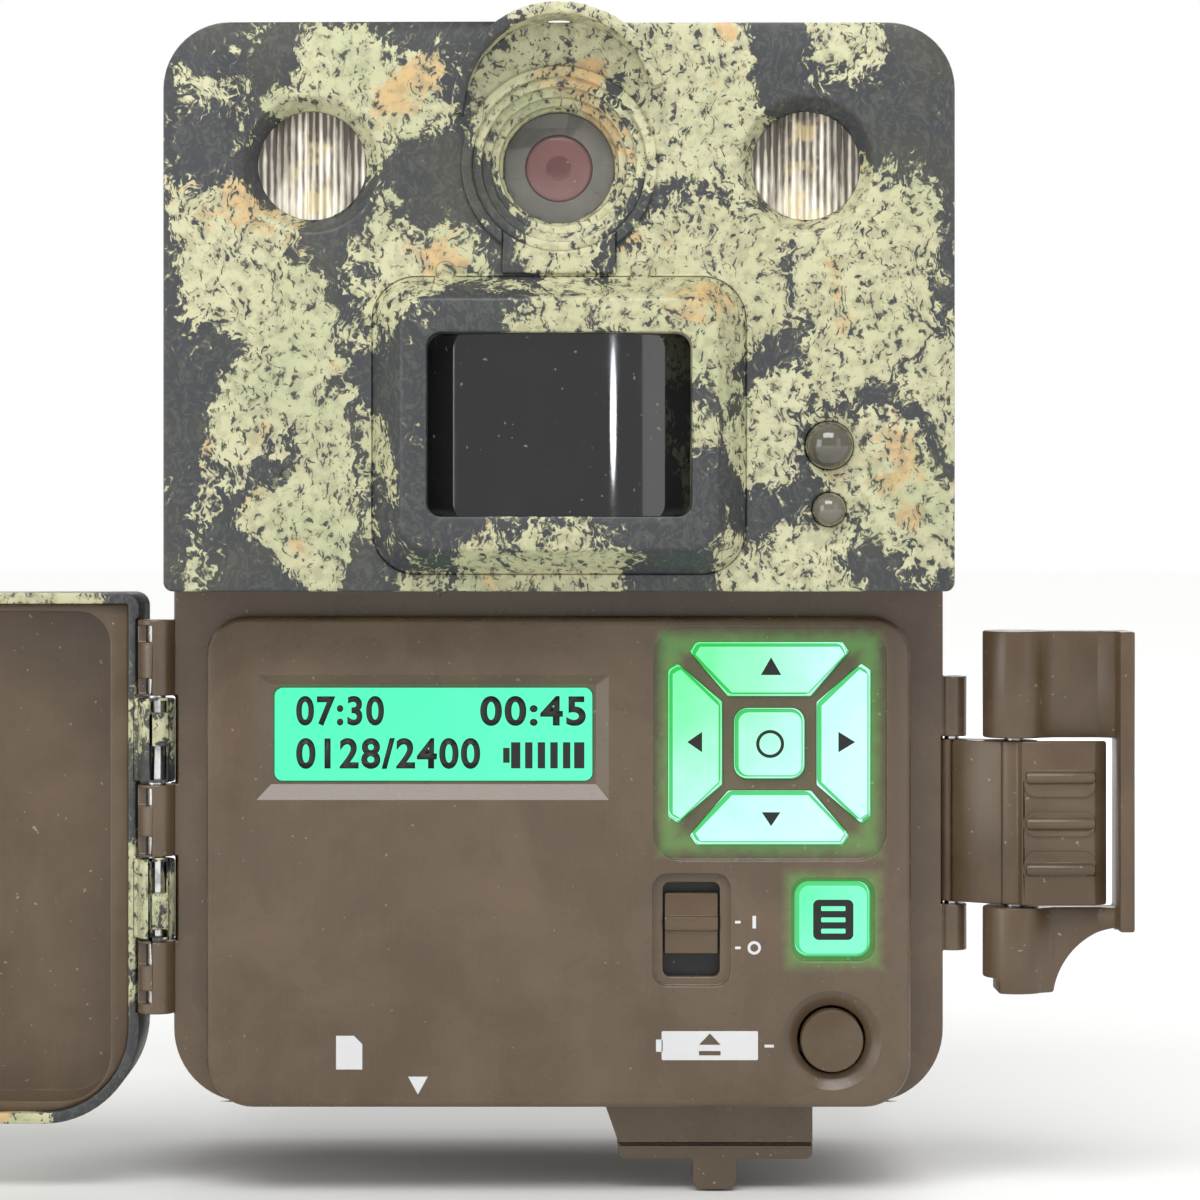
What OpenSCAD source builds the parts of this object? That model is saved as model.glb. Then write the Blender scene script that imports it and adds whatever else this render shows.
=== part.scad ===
// Trail camera with a camouflaged front housing, a control panel behind a swinging door, and a draw latch.
// Every module is written with X = 0 on the middle of the case, Y = 0 on the parting plane (front is -Y)
// and Z = 0 on the base. place() then moves the whole part so that its origin is the tripod socket's mouth.

/* [Case] */
// Width of the case
case_w = 83; // [81:1:105]
// Height of the case
case_h = 115; // [112:1:145]
// Depth of the front housing in front of the parting plane
front_d = 24; // [24:0.5:29]
// Height of the line where the camouflaged housing meets the control panel
split_z = 55.3; // [55:0.1:57]
// Wall thickness of the moulded shells
wall = 2; // [1.8:0.1:2.4]
// Radius of the top corners
top_r = 7; // [5:0.5:9]
// Radius of the bottom corners
low_r = 8; // [6:0.5:9]
// Depth of the control panel's raised face behind the front housing's face
panel_drop = 8; // [7.6:0.1:10]
// Depth of the panel's flange behind its raised face
flange_drop = 4; // [3.6:0.1:4.4]
// Width of the flange around the raised face
flange_w = 3.8; // [3.4:0.1:4.4]

/* [Optics] */
// Diameter of the lens window
lens_d = 11.7; // [10:0.1:14.1]
// Diameter of each flash window
flash_d = 11.4; // [9.5:0.1:13.7]
// Distance between the two flash windows
flash_gap = 52; // [50:1:54]
// Width of the motion window
pir_w = 27.5; // [24:0.5:33]
// Height of the motion window
pir_h = 19.1; // [16:0.1:20]
// Height of the frame around the motion window
pir_proud = 4.5; // [4:0.1:6]
// Outer radius of the lens hood
hood_r = 11.3; // [11:0.1:12]
// Reach of the lens hood in front of the face
hood_reach = 6; // [4:0.5:8]

/* [Controls] */
// Width of the display window
lcd_w = 34.1; // [28.5:0.1:35]
// Height of the display window
lcd_h = 10; // [8:0.1:12]
// Side of the square that the four arrow keys make
keys_w = 21.1; // [20.6:0.1:21.6]
// Radial height of one arrow key
key_h = 5.2; // [4.4:0.1:5.4]
// Side of the centre key
ok_w = 7; // [5.9:0.1:7.4]
// Side of the mode key
mode_w = 7.5; // [6.3:0.1:8.6]
// Travel of every key
key_travel = 0.6; // [0.4:0.05:0.65]
// Diameter of the eject button
eject_d = 6.7; // [5.6:0.1:8]
// Travel of the eject button
eject_travel = 2; // [1.5:0.1:2.2]
// Width of the power switch's knob
knob_w = 5.7; // [5:0.1:6.8]
// Travel of the power switch's knob
knob_travel = 2; // [1.6:0.1:2.4]

/* [Power and storage] */
// Diameter of one cell
cell_d = 14.5; // [12.1:0.1:14.8]
// Length of one cell
cell_l = 50.5; // [42.1:0.1:51]
// Bore of the power jack
jack_bore = 5.7; // [5.5:0.1:6.5]
// Diameter of the power jack's pin
jack_pin = 2.1; // [2:0.1:2.5]
// Tapping bore of the tripod socket
socket_bore = 5.1; // [5.1:0.1:5.2]
// Depth of the tripod socket
socket_depth = 8; // [6:0.5:9]

/* [Door and latch] */
// Thickness of the door's outer shell
door_wall = 1.2; // [1:0.1:1.5]
// Height by which the door overhangs the base
door_drop = 2.4; // [2:0.1:3]
// Radius of the hinge barrels
barrel_r = 2; // [1.8:0.1:2.2]
// Radius of the hinge pin
hinge_pin_r = 1; // [0.8:0.1:1.1]
// Radius of the latch hook's barrels
hook_barrel_r = 3.4; // [3:0.1:3.6]
// Radius of the pin that carries the hook
hook_pin_r = 1.1; // [0.9:0.1:1.3]
// Radius of the pin that carries the latch lever
lever_pin_r = 0.8; // [0.6:0.1:0.9]

/* [Hidden] */
$fn = 64;
eps = 0.01;
gap = 0.3;
fit = 0.05;
half_w = case_w / 2;

// depths of the front faces
face_y = -front_d;
island_y = face_y + panel_drop;
flange_y = island_y + flange_drop;
island_wall = 1.8;
island_back = island_y + island_wall;
island_half = half_w - flange_w;
island_top = split_z - 2.9;

// battery bay and the rear housing that is built around it
partition = 1.6;
web = 1;
tray_wall = 1.2;
cell_pitch = cell_d + 0.1;
tray_half = 1.5 * cell_pitch + 0.1 + tray_wall;
tray_d = 2 * cell_d + web;
tray_y0 = partition + gap;
tray_y1 = tray_y0 + tray_d;
cap_t = 2;
contact_t = 2.1;
tray_top_t = 1.2;
tray_top = cap_t + 2 * contact_t + cell_l + tray_top_t;
back_wall = 1.8;
bay_half = tray_half + gap;
bay_y1 = tray_y1 + gap;
rear_d = bay_y1 + back_wall;
bay_wall = 1.5;
bay_top = tray_top + gap;

// strap channel behind the upper corners
strap_h = 27;
strap_gap = 5.2;
strap_bar = 4.6;
strap_z0 = bay_top + bay_wall + 5;
strap_z1 = strap_z0 + strap_h;
strap_half = 27.5;
strap_y0 = rear_d - strap_bar - strap_gap;
strap_bar_w = 4.5;

// tripod socket and the part's origin
socket_z = case_h - 35;
insert_r = 4.5;
insert_l = socket_depth + 1;

// optics
lens_z = case_h - 14.9;
lens_r = lens_d / 2;
lens_y = face_y + 3.6;
lens_t = 1.1;
flash_x = flash_gap / 2;
flash_r = flash_d / 2;
flash_y = face_y + 2.2;
flash_t = 1.6;
tube_wall = 1.4;
reflector_y = flash_y + flash_t;
reflector_l = 8;
emitter_r = 2;
funnel_r = 9.2;
hood_z = lens_z + 5;
hood_t = 1.3;
hood_start = 16;
pir_z = case_h - 42.3;
pir_frame_w = pir_w + 11.8;
pir_frame_h = pir_h + 12.2;
pir_curve = 32;
pir_front = face_y - pir_proud + 1.2;
pir_t = 1.2;
pir_r = 1.5;
pir_frame_r = 4.7;
pir_slope_w = 3.2;
pir_slope_h = 2.6;
pir_rim_r = 3;
shell_low_r = 1;
tube_lap = 1.5;
reflector_t = 0.5;
nubs_x = [-11.9, 8.5];
nub_r = 1;
dome_x = 28.3;
dome_z = case_h - 44.4;
dome_r = 2.5;
light_z = dome_z - 6.7;
light_r = 1.75;
mic_x = -28.7;
mic_z = case_h - 47.4;
mic_hole_r = 0.5;
mic_r = 2;
sensor_y = lens_y + lens_t + 10.2;
board_t = 1.6;
sensor_half = 13;

// display, keys and switch
pad_y = island_y + 2.6;
lcd_x = -island_half + 24.3;
lcd_z = 39.9;
lcd_t = 1;
lcd_inset = 0.6;
lcd_rim = 1.7;
lcd_r = 0.9;
cluster_x = island_half - 15.1;
cluster_z = 38.9;
recess_w = keys_w + 3.8;
recess_drop = 0.9;
key_far = keys_w / 2;
key_near = key_far - key_h;
key_out = key_far - 2.4;
key_in = key_near - 1.2;
key_back = pad_y + 0.9;
skirt = 0.45;
mode_x = island_half - 8.35;
mode_z = 20.1;
mode_recess = mode_w + 1.4;
membrane_t = 1.5;
board_y = key_back + key_travel + membrane_t + 0.1;
switch_x = island_half - 23.5;
switch_z = 19;
slot_w = knob_w + 2 * 0.2;
knob_l = 6.5;
slot_l = knob_l + knob_travel + 1.6;
knob_z = switch_z + knob_travel / 2 - 0.35;
surround_w = slot_w + 2.2;
surround_l = slot_l + 1.9;
surround_drop = 0.7;
slot_r = 0.8;
key_r = 1.2;
eject_r = eject_d / 2;
eject_x = island_half - 8.5;
eject_z = 7.2;
dish_r = eject_r + 2;
dish_drop = 0.8;
guide_wall = 1;
guide_r = eject_r + gap + guide_wall;
guide_y = island_back + 6;
stem_r = 1.4;
catch_y = 4;
catch_l = 9;
nose_l = 2.1;
catch_z0 = 4.9;
catch_h = 4.6;
catch_x0 = bay_half + bay_wall + gap;
wedge_gap = 0.2;
spring_wire_r = 0.28;
stem_room = stem_r + eject_travel + gap;
board_z0 = 12.5;
board_z1 = island_top - island_wall - gap;
board_half = half_w - 7.5;
post_r = 1.6;
screw_r = 0.95;
screw_head_r = 1.8;
panel_posts = [[-board_half + 2, board_z1 - 1.9], [-board_half + 2, board_z0 + 2.2],
               [lcd_x + 21.3, board_z1 - 1.9]];
sensor_posts = [[-10.5, lens_z + 10], [10.5, lens_z + 10], [-10.5, lens_z - 10], [10.5, lens_z - 10]];

// case screws
case_screw_r = 1.5;
case_head_r = 2.7;
boss_wall = 1.2;
case_boss_r = 2.8;
screw_in = 4.5;
screw_edge = half_w - screw_in;
case_screws_at = [for (s = [-1, 1], z = [5, split_z + 5, case_h - 5]) [s * screw_edge, z]];
screw_seat = 8;

// memory card and power jack
card_w = 24;
card_h = 32;
card_t = 2.1;
card_x = -island_half + 22.65;
card_y = board_y + board_t + 1;
card_z = 0.5;
slot_clear = 0.25;
socket_wall = 0.7;
boss_x0 = 4.9;
boss_x1 = 27.5;
boss_slant = 1.6;
boss_h = 4.5;
boss_y0 = -11;
boss_y1 = -1;
jack_x = 16.9;
jack_y = -6;
jack_r = 4.6;
jack_l = 11;
flap_t = 1.7;
flap_axis_y = boss_y1 - 0.9;
flap_axis_z = -boss_h - 0.1 - flap_t / 2;
flap_pin_r = 0.4;
ear_w = 1.4;
ear_x = 3;
tab_w = 4.8;
tab_h = 3.3;

// door, in its closed place
hinge_x = -half_w - 1.9;
door_y1 = flange_y - gap;
door_z0 = -door_drop;
door_z1 = split_z - gap;
door_low_r = low_r + door_drop;
door_top_r = 1.5;
liner_t = 1.9;
liner_inner = island_half + 0.5;
shelf_drop = 1;
knuckle_z = [9.7, 17.6, 26.5, 34.5, 43.8, 52.1];
knuckle_gap = 0.15;
relief = barrel_r + gap;
arm_t = 1.9;
pin_in = 0.3;

// latch, in its open place
lever_x = half_w + 1.1;
lever_y = flange_y + 1.4;
lever_hub_r = 1.6;
lever_z0 = 21.7;
lever_z1 = 39.2;
hook_dx = 6.4;
hook_dy = -3;
hook_x = lever_x + hook_dx;
hook_y = lever_y + hook_dy;
hook_z0 = 12.2;
hook_z1 = 51;
arm_lo_z = 16.4;
arm_hi_z = 46;
tab_reach = 9.6;
tab_y0 = -3.4;
tab_t = 1.8;
hook_reach = 10.6;
lip_t = 1.6;
lip_front = -5.2;
plate_y0 = -1.1;
plate_t = 2;
lip_z0 = 19;
scoop_x = 12.4;
scoop_r = 8.4;
catch_notch_y = hook_y + hook_dy;

// ---- helpers ----

module place() { translate([0, -rear_d, -socket_z]) children(); }

// A flat outline in X and Z, given thickness from y0 back to y1
module slab(y0, y1) {
    translate([0, y1, 0]) rotate([90, 0, 0]) linear_extrude(y1 - y0) children();
}

// Rectangle with one radius on its lower corners and one on its upper corners
module plate(x0, z0, x1, z1, low, top) {
    polygon([[x0 + low, z0], [x1 - low, z0], [x1, z0 + low], [x1, z1 - top],
             [x1 - top, z1], [x0 + top, z1], [x0, z1 - top], [x0, z0 + low]]);
    for (x = [x0 + low, x1 - low]) translate([x, z0 + low]) circle(low);
    for (x = [x0 + top, x1 - top]) translate([x, z1 - top]) circle(top);
}

// The same rounded plate, w by h, centred on a point
module centred(x, z, w, h, r) { plate(x - w / 2, z - h / 2, x + w / 2, z + h / 2, r, r); }

module box(x0, x1, y0, y1, z0, z1) { translate([x0, y0, z0]) cube([x1 - x0, y1 - y0, z1 - z0]); }

module peg(x, z, r, y0, y1) { translate([x, y1, z]) rotate([90, 0, 0]) cylinder(r = r, h = y1 - y0); }

module taper(x, z, y0, r0, y1, r1) {
    translate([x, y0, z]) rotate([-90, 0, 0]) cylinder(r1 = r0, r2 = r1, h = y1 - y0);
}

module post(x, y, r, z0, z1) { translate([x, y, z0]) cylinder(r = r, h = z1 - z0); }

module case_outline(inset) {
    plate(-half_w + inset, inset, half_w - inset, case_h - inset, low_r - inset, top_r - inset);
}

module above(z) { translate([-case_w, z]) square([2 * case_w, case_h]); }

module below(z) { translate([-case_w, z - 2 * case_h]) square([2 * case_w, 2 * case_h]); }

module square_key(x, z, w, r, g) {
    plate(x - w / 2 - g, z - w / 2 - g, x + w / 2 + g, z + w / 2 + g, r + g, r + g);
}

// The arrow key that points up, grown by g; the other three are turned copies
module arrow_key(turn, g) {
    translate([cluster_x, cluster_z]) rotate(turn)
        polygon([[-key_in - g, key_near - g], [key_in + g, key_near - g],
                 [key_out + 1.3 * g, key_far - 1 + g], [key_out - 0.6 + g, key_far + g],
                 [-key_out + 0.6 - g, key_far + g], [-key_out - 1.3 * g, key_far - 1 + g]]);
}

module board_post(at, y0, y1) {
    difference() {
        peg(at[0], at[1], post_r, y0, y1);
        peg(at[0], at[1], screw_r + fit, y1 - 5, y1 + eps);
    }
}

module case_boss(at) {
    difference() {
        peg(at[0], at[1], case_boss_r, -12, 0);
        peg(at[0], at[1], case_screw_r + fit, -10, eps);
    }
}

// ---- case ----

module hood() {
    intersection() {
        translate([0, face_y + eps, hood_z]) rotate([90, 0, 0]) linear_extrude(hood_reach + eps)
            intersection() {
                difference() {
                    circle(hood_r);
                    circle(hood_r - hood_t);
                }
                polygon([[0, 0], [half_w * cos(hood_start), half_w * sin(hood_start)],
                         [half_w, half_w], [-half_w, half_w], [-half_w, 0]]);
            }
        translate([-half_w, 0, 0]) rotate([90, 0, 90]) linear_extrude(case_w)
            polygon([[face_y + 1, hood_z - 2], [face_y - 1.2, hood_z - 2],
                     [face_y - hood_reach, hood_z + hood_r - 2],
                     [face_y - hood_reach, hood_z + hood_r + 2], [face_y + 1, hood_z + hood_r + 2]]);
    }
}

module pir_frame() {
    hull() {
        slab(face_y - eps, face_y + wall / 2) centred(0, pir_z, pir_frame_w, pir_frame_h, pir_frame_r);
        slab(face_y - pir_proud, face_y - pir_proud + eps)
            centred(0, pir_z, pir_frame_w - 2 * pir_slope_w, pir_frame_h - 2 * pir_slope_h, pir_rim_r);
    }
}

module front_housing() {
    color([0.72, 0.72, 0.58]) place() {
        difference() {
            union() {
                difference() {
                    slab(face_y, 0) intersection() {
                        plate(-half_w, split_z, half_w, case_h, shell_low_r, top_r);
                        above(split_z);
                    }
                    slab(face_y + wall, eps)
                        plate(-half_w + wall, split_z + wall, half_w - wall, case_h - wall,
                              shell_low_r / 2, top_r - wall);
                }
                pir_frame();
                hood();
                peg(0, lens_z, funnel_r + 1.6, face_y + wall - eps, lens_y + lens_t);
                for (s = [-1, 1])
                    peg(s * flash_x, lens_z, flash_r + gap / 2 + tube_wall, face_y + wall - eps,
                        reflector_y + tube_lap);
                for (at = case_screws_at) if (at[1] > split_z) case_boss(at);
                for (at = sensor_posts) board_post(at, face_y + wall - eps, sensor_y);
                for (s = [-1, 1]) board_post([s * (pir_w / 2 + 3), pir_z], face_y + wall - eps, face_y + 11);
                for (x = nubs_x) peg(x, lens_z - 11.2, nub_r, face_y - 0.5, face_y + eps);
            }
            taper(0, lens_z, face_y - eps, funnel_r, lens_y, lens_r);
            peg(0, lens_z, lens_r + fit, lens_y - eps, lens_y + lens_t + 1);
            peg(0, lens_z, lens_r + fit, face_y, lens_y);
            for (s = [-1, 1]) {
                taper(s * flash_x, lens_z, face_y - eps, flash_r + 1.5, flash_y, flash_r);
                peg(s * flash_x, lens_z, flash_r + fit, face_y, reflector_y + 2);
            }
            slab(face_y - pir_proud - 1, face_y + wall + 1)
                centred(0, pir_z, pir_w, pir_h, pir_r);
            peg(dome_x, dome_z, dome_r + fit, face_y - 1, face_y + wall + 1);
            peg(dome_x, light_z, light_r + fit, face_y - 1, face_y + wall + 1);
            peg(mic_x, mic_z, mic_hole_r, face_y - 1, face_y + wall + 1);
            for (at = case_screws_at) if (at[1] > split_z) peg(at[0], at[1], case_screw_r + fit, -10, eps);
            box(-14, 14, -8, -3, split_z - 1, split_z + wall + 1);
        }
    }
}

module barrel(z0, z1, y_arm0, y_arm1, x_arm1) {
    post(hinge_x, flange_y, barrel_r, z0, z1);
    box(hinge_x, x_arm1, y_arm0, y_arm1, z0, z1);
}

module panel_knuckles() {
    for (i = [0, 2, 4])
        barrel(knuckle_z[i], knuckle_z[i + 1], flange_y + 0.1, flange_y + arm_t, -half_w + 1);
}

module latch_ears() {
    for (z = [[arm_lo_z, lever_z0 - gap], [lever_z1 + gap, arm_hi_z]]) {
        post(lever_x, lever_y, lever_hub_r, z[0], z[1]);
        box(half_w - 1, lever_x, lever_y - 1, lever_y + lever_hub_r, z[0], z[1]);
    }
}

module jack_boss() {
    slab(boss_y0, boss_y1)
        polygon([[boss_x0, 1], [boss_x0, 0], [boss_x0 + boss_slant, -boss_h],
                 [boss_x1, -boss_h], [boss_x1, 1]]);
    for (x = [boss_x0 + ear_x, boss_x1 - ear_x - ear_w])
        difference() {
            box(x, x + ear_w, flap_axis_y - 0.9, boss_y1, flap_axis_z - 0.9, -boss_h + eps);
            translate([x - 1, flap_axis_y, flap_axis_z]) rotate([0, 90, 0])
                cylinder(r = flap_pin_r + fit, h = ear_w + 2);
        }
}

module control_panel() {
    color([0.36, 0.29, 0.23]) place() {
        difference() {
            union() {
                difference() {
                    union() {
                        slab(flange_y, 0) intersection() {
                            case_outline(0);
                            below(split_z);
                        }
                        slab(island_y, flange_y + eps)
                            plate(-island_half, 0, island_half, island_top, low_r - 3, 4);
                    }
                    slab(flange_y + wall, eps) intersection() {
                        case_outline(wall);
                        below(split_z - wall);
                    }
                    slab(island_back, flange_y + wall + eps)
                        plate(-island_half + island_wall, wall, island_half - island_wall,
                              island_top - island_wall, low_r - 3 - island_wall, 4 - island_wall);
                }
                slab(island_y + eps, pad_y) {
                    square_key(cluster_x, cluster_z, recess_w, 3, 0.4);
                    square_key(mode_x, mode_z, mode_recess, key_r, 0.8);
                }
                peg(eject_x, eject_z, guide_r, island_y + eps, guide_y);
                panel_knuckles();
                latch_ears();
                jack_boss();
                for (at = case_screws_at) if (at[1] < split_z) case_boss(at);
                for (at = panel_posts) board_post(at, island_back - eps, board_y);
            }
            slab(island_y - 1, island_y + recess_drop) square_key(cluster_x, cluster_z, recess_w, 3, 0);
            slab(island_y - 1, island_y + recess_drop) square_key(mode_x, mode_z, mode_recess, 1.6, 0);
            slab(island_y - 1, pad_y + 1) {
                for (t = [0:90:270]) arrow_key(t, gap);
                square_key(cluster_x, cluster_z, ok_w, key_r, gap);
                square_key(mode_x, mode_z, mode_w, key_r, gap);
            }
            slab(island_y - 1, island_back + 1) {
                centred(lcd_x, lcd_z, lcd_w, lcd_h, lcd_r);
                centred(switch_x, switch_z, slot_w, slot_l, slot_r);
            }
            slab(island_y - 1, island_y + surround_drop)
                centred(switch_x, switch_z, surround_w, surround_l, 2 * slot_r);
            taper(eject_x, eject_z, island_y - eps, dish_r, island_y + dish_drop, eject_r + gap);
            peg(eject_x, eject_z, eject_r + gap, island_y - 1, guide_y - 1);
            peg(eject_x, eject_z, stem_r + gap, island_y, guide_y + 1);
            for (at = case_screws_at) if (at[1] < split_z) peg(at[0], at[1], case_screw_r + fit, -10, eps);
            box(-14, 14, -8, -3, split_z - wall - 1, split_z + 1);
            box(card_x - card_w / 2 - slot_clear, card_x + card_w / 2 + slot_clear,
                card_y - slot_clear, card_y + card_t + slot_clear, -1, wall + 1);
            post(jack_x, jack_y, jack_r + fit, -boss_h - 1, wall + 1);
            for (i = [1, 3])
                post(hinge_x, flange_y, relief, knuckle_z[i] - gap / 2, knuckle_z[i + 1] + gap / 2);
            post(hinge_x, flange_y, hinge_pin_r + fit / 2, 0, split_z - wall);
            post(lever_x, lever_y, lever_hub_r + gap, lever_z0 - gap, lever_z1 + gap);
            post(lever_x, lever_y, lever_pin_r + fit / 2, arm_lo_z - 1, arm_hi_z + 1);
        }
    }
}

module strap_bar(s) {
    box(s > 0 ? strap_half : -half_w - 1, s > 0 ? half_w + 1 : -strap_half,
        strap_y0, rear_d - strap_bar, strap_z0, strap_z1);
    box(s > 0 ? strap_half : -half_w + strap_bar_w, s > 0 ? half_w - strap_bar_w : -strap_half,
        strap_y0, rear_d + 1, strap_z0, strap_z1);
}

module rear_housing() {
    color([0.30, 0.25, 0.20]) place() {
        difference() {
            union() {
                difference() {
                    slab(0, rear_d) case_outline(0);
                    difference() {
                        slab(-eps, bay_y1) case_outline(wall);
                        for (s = [-1, 1])
                            box(s > 0 ? strap_half - wall : -half_w, s > 0 ? half_w : -strap_half + wall,
                                strap_y0 - wall, rear_d, strap_z0 - wall, strap_z1 + wall);
                        box(-bay_half - bay_wall, bay_half + bay_wall, 0, rear_d, 0, bay_top + bay_wall);
                        peg(0, socket_z, insert_r + 2, rear_d - insert_l - 1.5, rear_d);
                        for (at = case_screws_at) peg(at[0], at[1], case_head_r + boss_wall, 0, rear_d);
                    }
                }
            }
            for (s = [-1, 1]) strap_bar(s);
            box(-bay_half, bay_half, partition, bay_y1, -1, bay_top);
            peg(0, socket_z, insert_r + fit / 2, rear_d - insert_l, rear_d + 1);
            for (at = case_screws_at) {
                peg(at[0], at[1], case_head_r + 0.1, screw_seat, rear_d + 1);
                peg(at[0], at[1], case_screw_r + 0.2, -1, screw_seat + 1);
            }
            box(bay_half - 1, catch_x0 + 1, catch_y + catch_l - nose_l - gap, catch_y + catch_l + gap,
                catch_z0 + 0.8 - gap, catch_z0 + catch_h - 0.8 + gap);
            slab(-eps, 0.8) difference() {
                case_outline(0.5);
                case_outline(1.4);
            }
        }
        box(catch_x0, half_w - screw_in - case_head_r - boss_wall, catch_y, catch_y + catch_l,
            wall - eps, catch_z0 - 2 * fit);
    }
}

module housing_gasket() {
    color([0.12, 0.12, 0.12]) place() slab(0, 0.8) difference() {
        case_outline(0.55);
        case_outline(1.35);
    }
}

module case_screws() {
    color([0.75, 0.75, 0.77]) place() for (at = case_screws_at) difference() {
        union() {
            peg(at[0], at[1], case_screw_r, -8, screw_seat + eps);
            peg(at[0], at[1], case_head_r, screw_seat, screw_seat + 2);
        }
        for (a = [0, 90]) translate([at[0], screw_seat + 1.7, at[1]]) rotate([0, a, 0])
            cube([3, 1.4, 0.7], center = true);
    }
}

module tripod_insert() {
    color([0.78, 0.62, 0.32]) place() difference() {
        union() {
            peg(0, socket_z, insert_r, rear_d - insert_l, rear_d - 3);
            peg(0, socket_z, insert_r - 0.4, rear_d - 3.1, rear_d - 2);
            peg(0, socket_z, insert_r, rear_d - 2.1, rear_d);
        }
        peg(0, socket_z, socket_bore / 2, rear_d - socket_depth, rear_d + 1);
    }
}

// ---- optics ----

module lens_window() { color([0.25, 0.25, 0.27]) place() peg(0, lens_z, lens_r, lens_y, lens_y + lens_t); }

module lens_mask_ring() {
    color([0.28, 0.28, 0.29]) place() difference() {
        peg(0, lens_z, lens_r, lens_y + lens_t, lens_y + lens_t + 0.6);
        peg(0, lens_z, 3.6, lens_y, lens_y + lens_t + 1);
    }
}

module lens_barrel() {
    color([0.15, 0.15, 0.15]) place() difference() {
        peg(0, lens_z, 4.6, lens_y + lens_t + 0.6, sensor_y - 2);
        taper(0, lens_z, lens_y, 4.2, lens_y + lens_t + 4, 3.2);
        peg(0, lens_z, 3.2, lens_y + lens_t + 3, sensor_y - 1);
    }
}

module lens_elements() {
    color([0.62, 0.22, 0.20]) place() {
        intersection() {
            peg(0, lens_z, 3.19, lens_y + lens_t + 4, lens_y + lens_t + 6);
            translate([0, lens_y + lens_t + 4.1 + 6, lens_z]) sphere(6);
        }
        peg(0, lens_z, 3.19, lens_y + lens_t + 7, lens_y + lens_t + 7.6);
    }
}

module lens_holder() {
    color([0.1, 0.1, 0.1]) place() difference() {
        box(-6.5, 6.5, sensor_y - 4.5, sensor_y, lens_z - 6.5, lens_z + 6.5);
        peg(0, lens_z, 4.6 + fit, sensor_y - 5, sensor_y - 2);
        box(-5, 5, sensor_y - 2, sensor_y + 1, lens_z - 5, lens_z + 5);
    }
}

module image_sensor() {
    color([0.2, 0.22, 0.3]) place() box(-4, 4, sensor_y - 1, sensor_y, lens_z - 3.2, lens_z + 3.2);
}

module sensor_board() {
    color([0.08, 0.28, 0.14]) place() difference() {
        slab(sensor_y, sensor_y + board_t)
            plate(-sensor_half, lens_z - 12.5, sensor_half, lens_z + 12.5, 1, 1);
        for (at = sensor_posts) peg(at[0], at[1], screw_r + 0.1, sensor_y - 1, sensor_y + board_t + 1);
    }
}

module flash_window(s) { peg(s * flash_x, lens_z, flash_r, flash_y, flash_y + flash_t); }

module flash_reflector(s) {
    difference() {
        taper(s * flash_x, lens_z, reflector_y, flash_r, reflector_y + reflector_l, emitter_r + 1);
        taper(s * flash_x, lens_z, reflector_y - eps, flash_r - reflector_t,
              reflector_y + reflector_l + eps, emitter_r + 0.4);
    }
}

module flash_led(s) {
    peg(s * flash_x, lens_z, 6, reflector_y + reflector_l, reflector_y + reflector_l + 1.2);
    peg(s * flash_x, lens_z, emitter_r, reflector_y + reflector_l - 1, reflector_y + reflector_l + eps);
    translate([s * flash_x, reflector_y + reflector_l - 1, lens_z]) sphere(emitter_r * 0.8);
}

module flash_window_left() { color([0.85, 0.85, 0.82, 0.5]) place() flash_window(-1); }
module flash_window_right() { color([0.85, 0.85, 0.82, 0.5]) place() flash_window(1); }
module flash_reflector_left() { color([0.85, 0.85, 0.87]) place() flash_reflector(-1); }
module flash_reflector_right() { color([0.85, 0.85, 0.87]) place() flash_reflector(1); }
module flash_led_left() { color([0.95, 0.85, 0.6]) place() flash_led(-1); }
module flash_led_right() { color([0.95, 0.85, 0.6]) place() flash_led(1); }

module pir_window() {
    color([0.04, 0.04, 0.04]) place() {
        intersection() {
            difference() {
                post(0, pir_front + pir_curve, pir_curve, 0, case_h);
                post(0, pir_front + pir_curve, pir_curve - pir_t, -1, case_h + 1);
            }
            slab(pir_front - 1, pir_front + 5)
                centred(0, pir_z, pir_w - 2 * fit, pir_h - 2 * fit, pir_r - fit);
        }
    }
}

module pir_sensor() {
    color([0.7, 0.7, 0.7]) place() {
        peg(0, pir_z, 4.6, face_y + 7, face_y + 11);
        peg(0, pir_z, 5, face_y + 10.4, face_y + 11 + eps);
        difference() {
            box(-pir_w / 2 - 5, pir_w / 2 + 5, face_y + 11, face_y + 11 + board_t, pir_z - 8, pir_z + 8);
            for (s = [-1, 1]) peg(s * (pir_w / 2 + 3), pir_z, screw_r + 0.1, face_y + 10, face_y + 14);
        }
    }
}

module dome(z, r) {
    intersection() {
        translate([dome_x, face_y - 0.2, z]) sphere(r);
        box(dome_x - r, dome_x + r, face_y - r - 1, face_y, z - r, z + r);
    }
    peg(dome_x, z, r, face_y - eps, face_y + wall);
    peg(dome_x, z, r + 0.6, face_y + wall, face_y + wall + 0.8);
}

module status_dome() { color([0.3, 0.26, 0.22]) place() dome(dome_z, dome_r); }
module light_sensor_dome() { color([0.6, 0.58, 0.52]) place() dome(light_z, light_r); }

module microphone() {
    color([0.2, 0.2, 0.2]) place() peg(mic_x, mic_z, mic_r, face_y + wall, face_y + wall + 2.4);
}

// ---- electronics ----

module main_board() {
    color([0.08, 0.30, 0.15]) place() difference() {
        slab(board_y, board_y + board_t) plate(-board_half, board_z0, board_half, board_z1, 1, 1);
        for (at = panel_posts) peg(at[0], at[1], screw_r + 0.1, board_y - 1, board_y + board_t + 1);
    }
}

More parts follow.
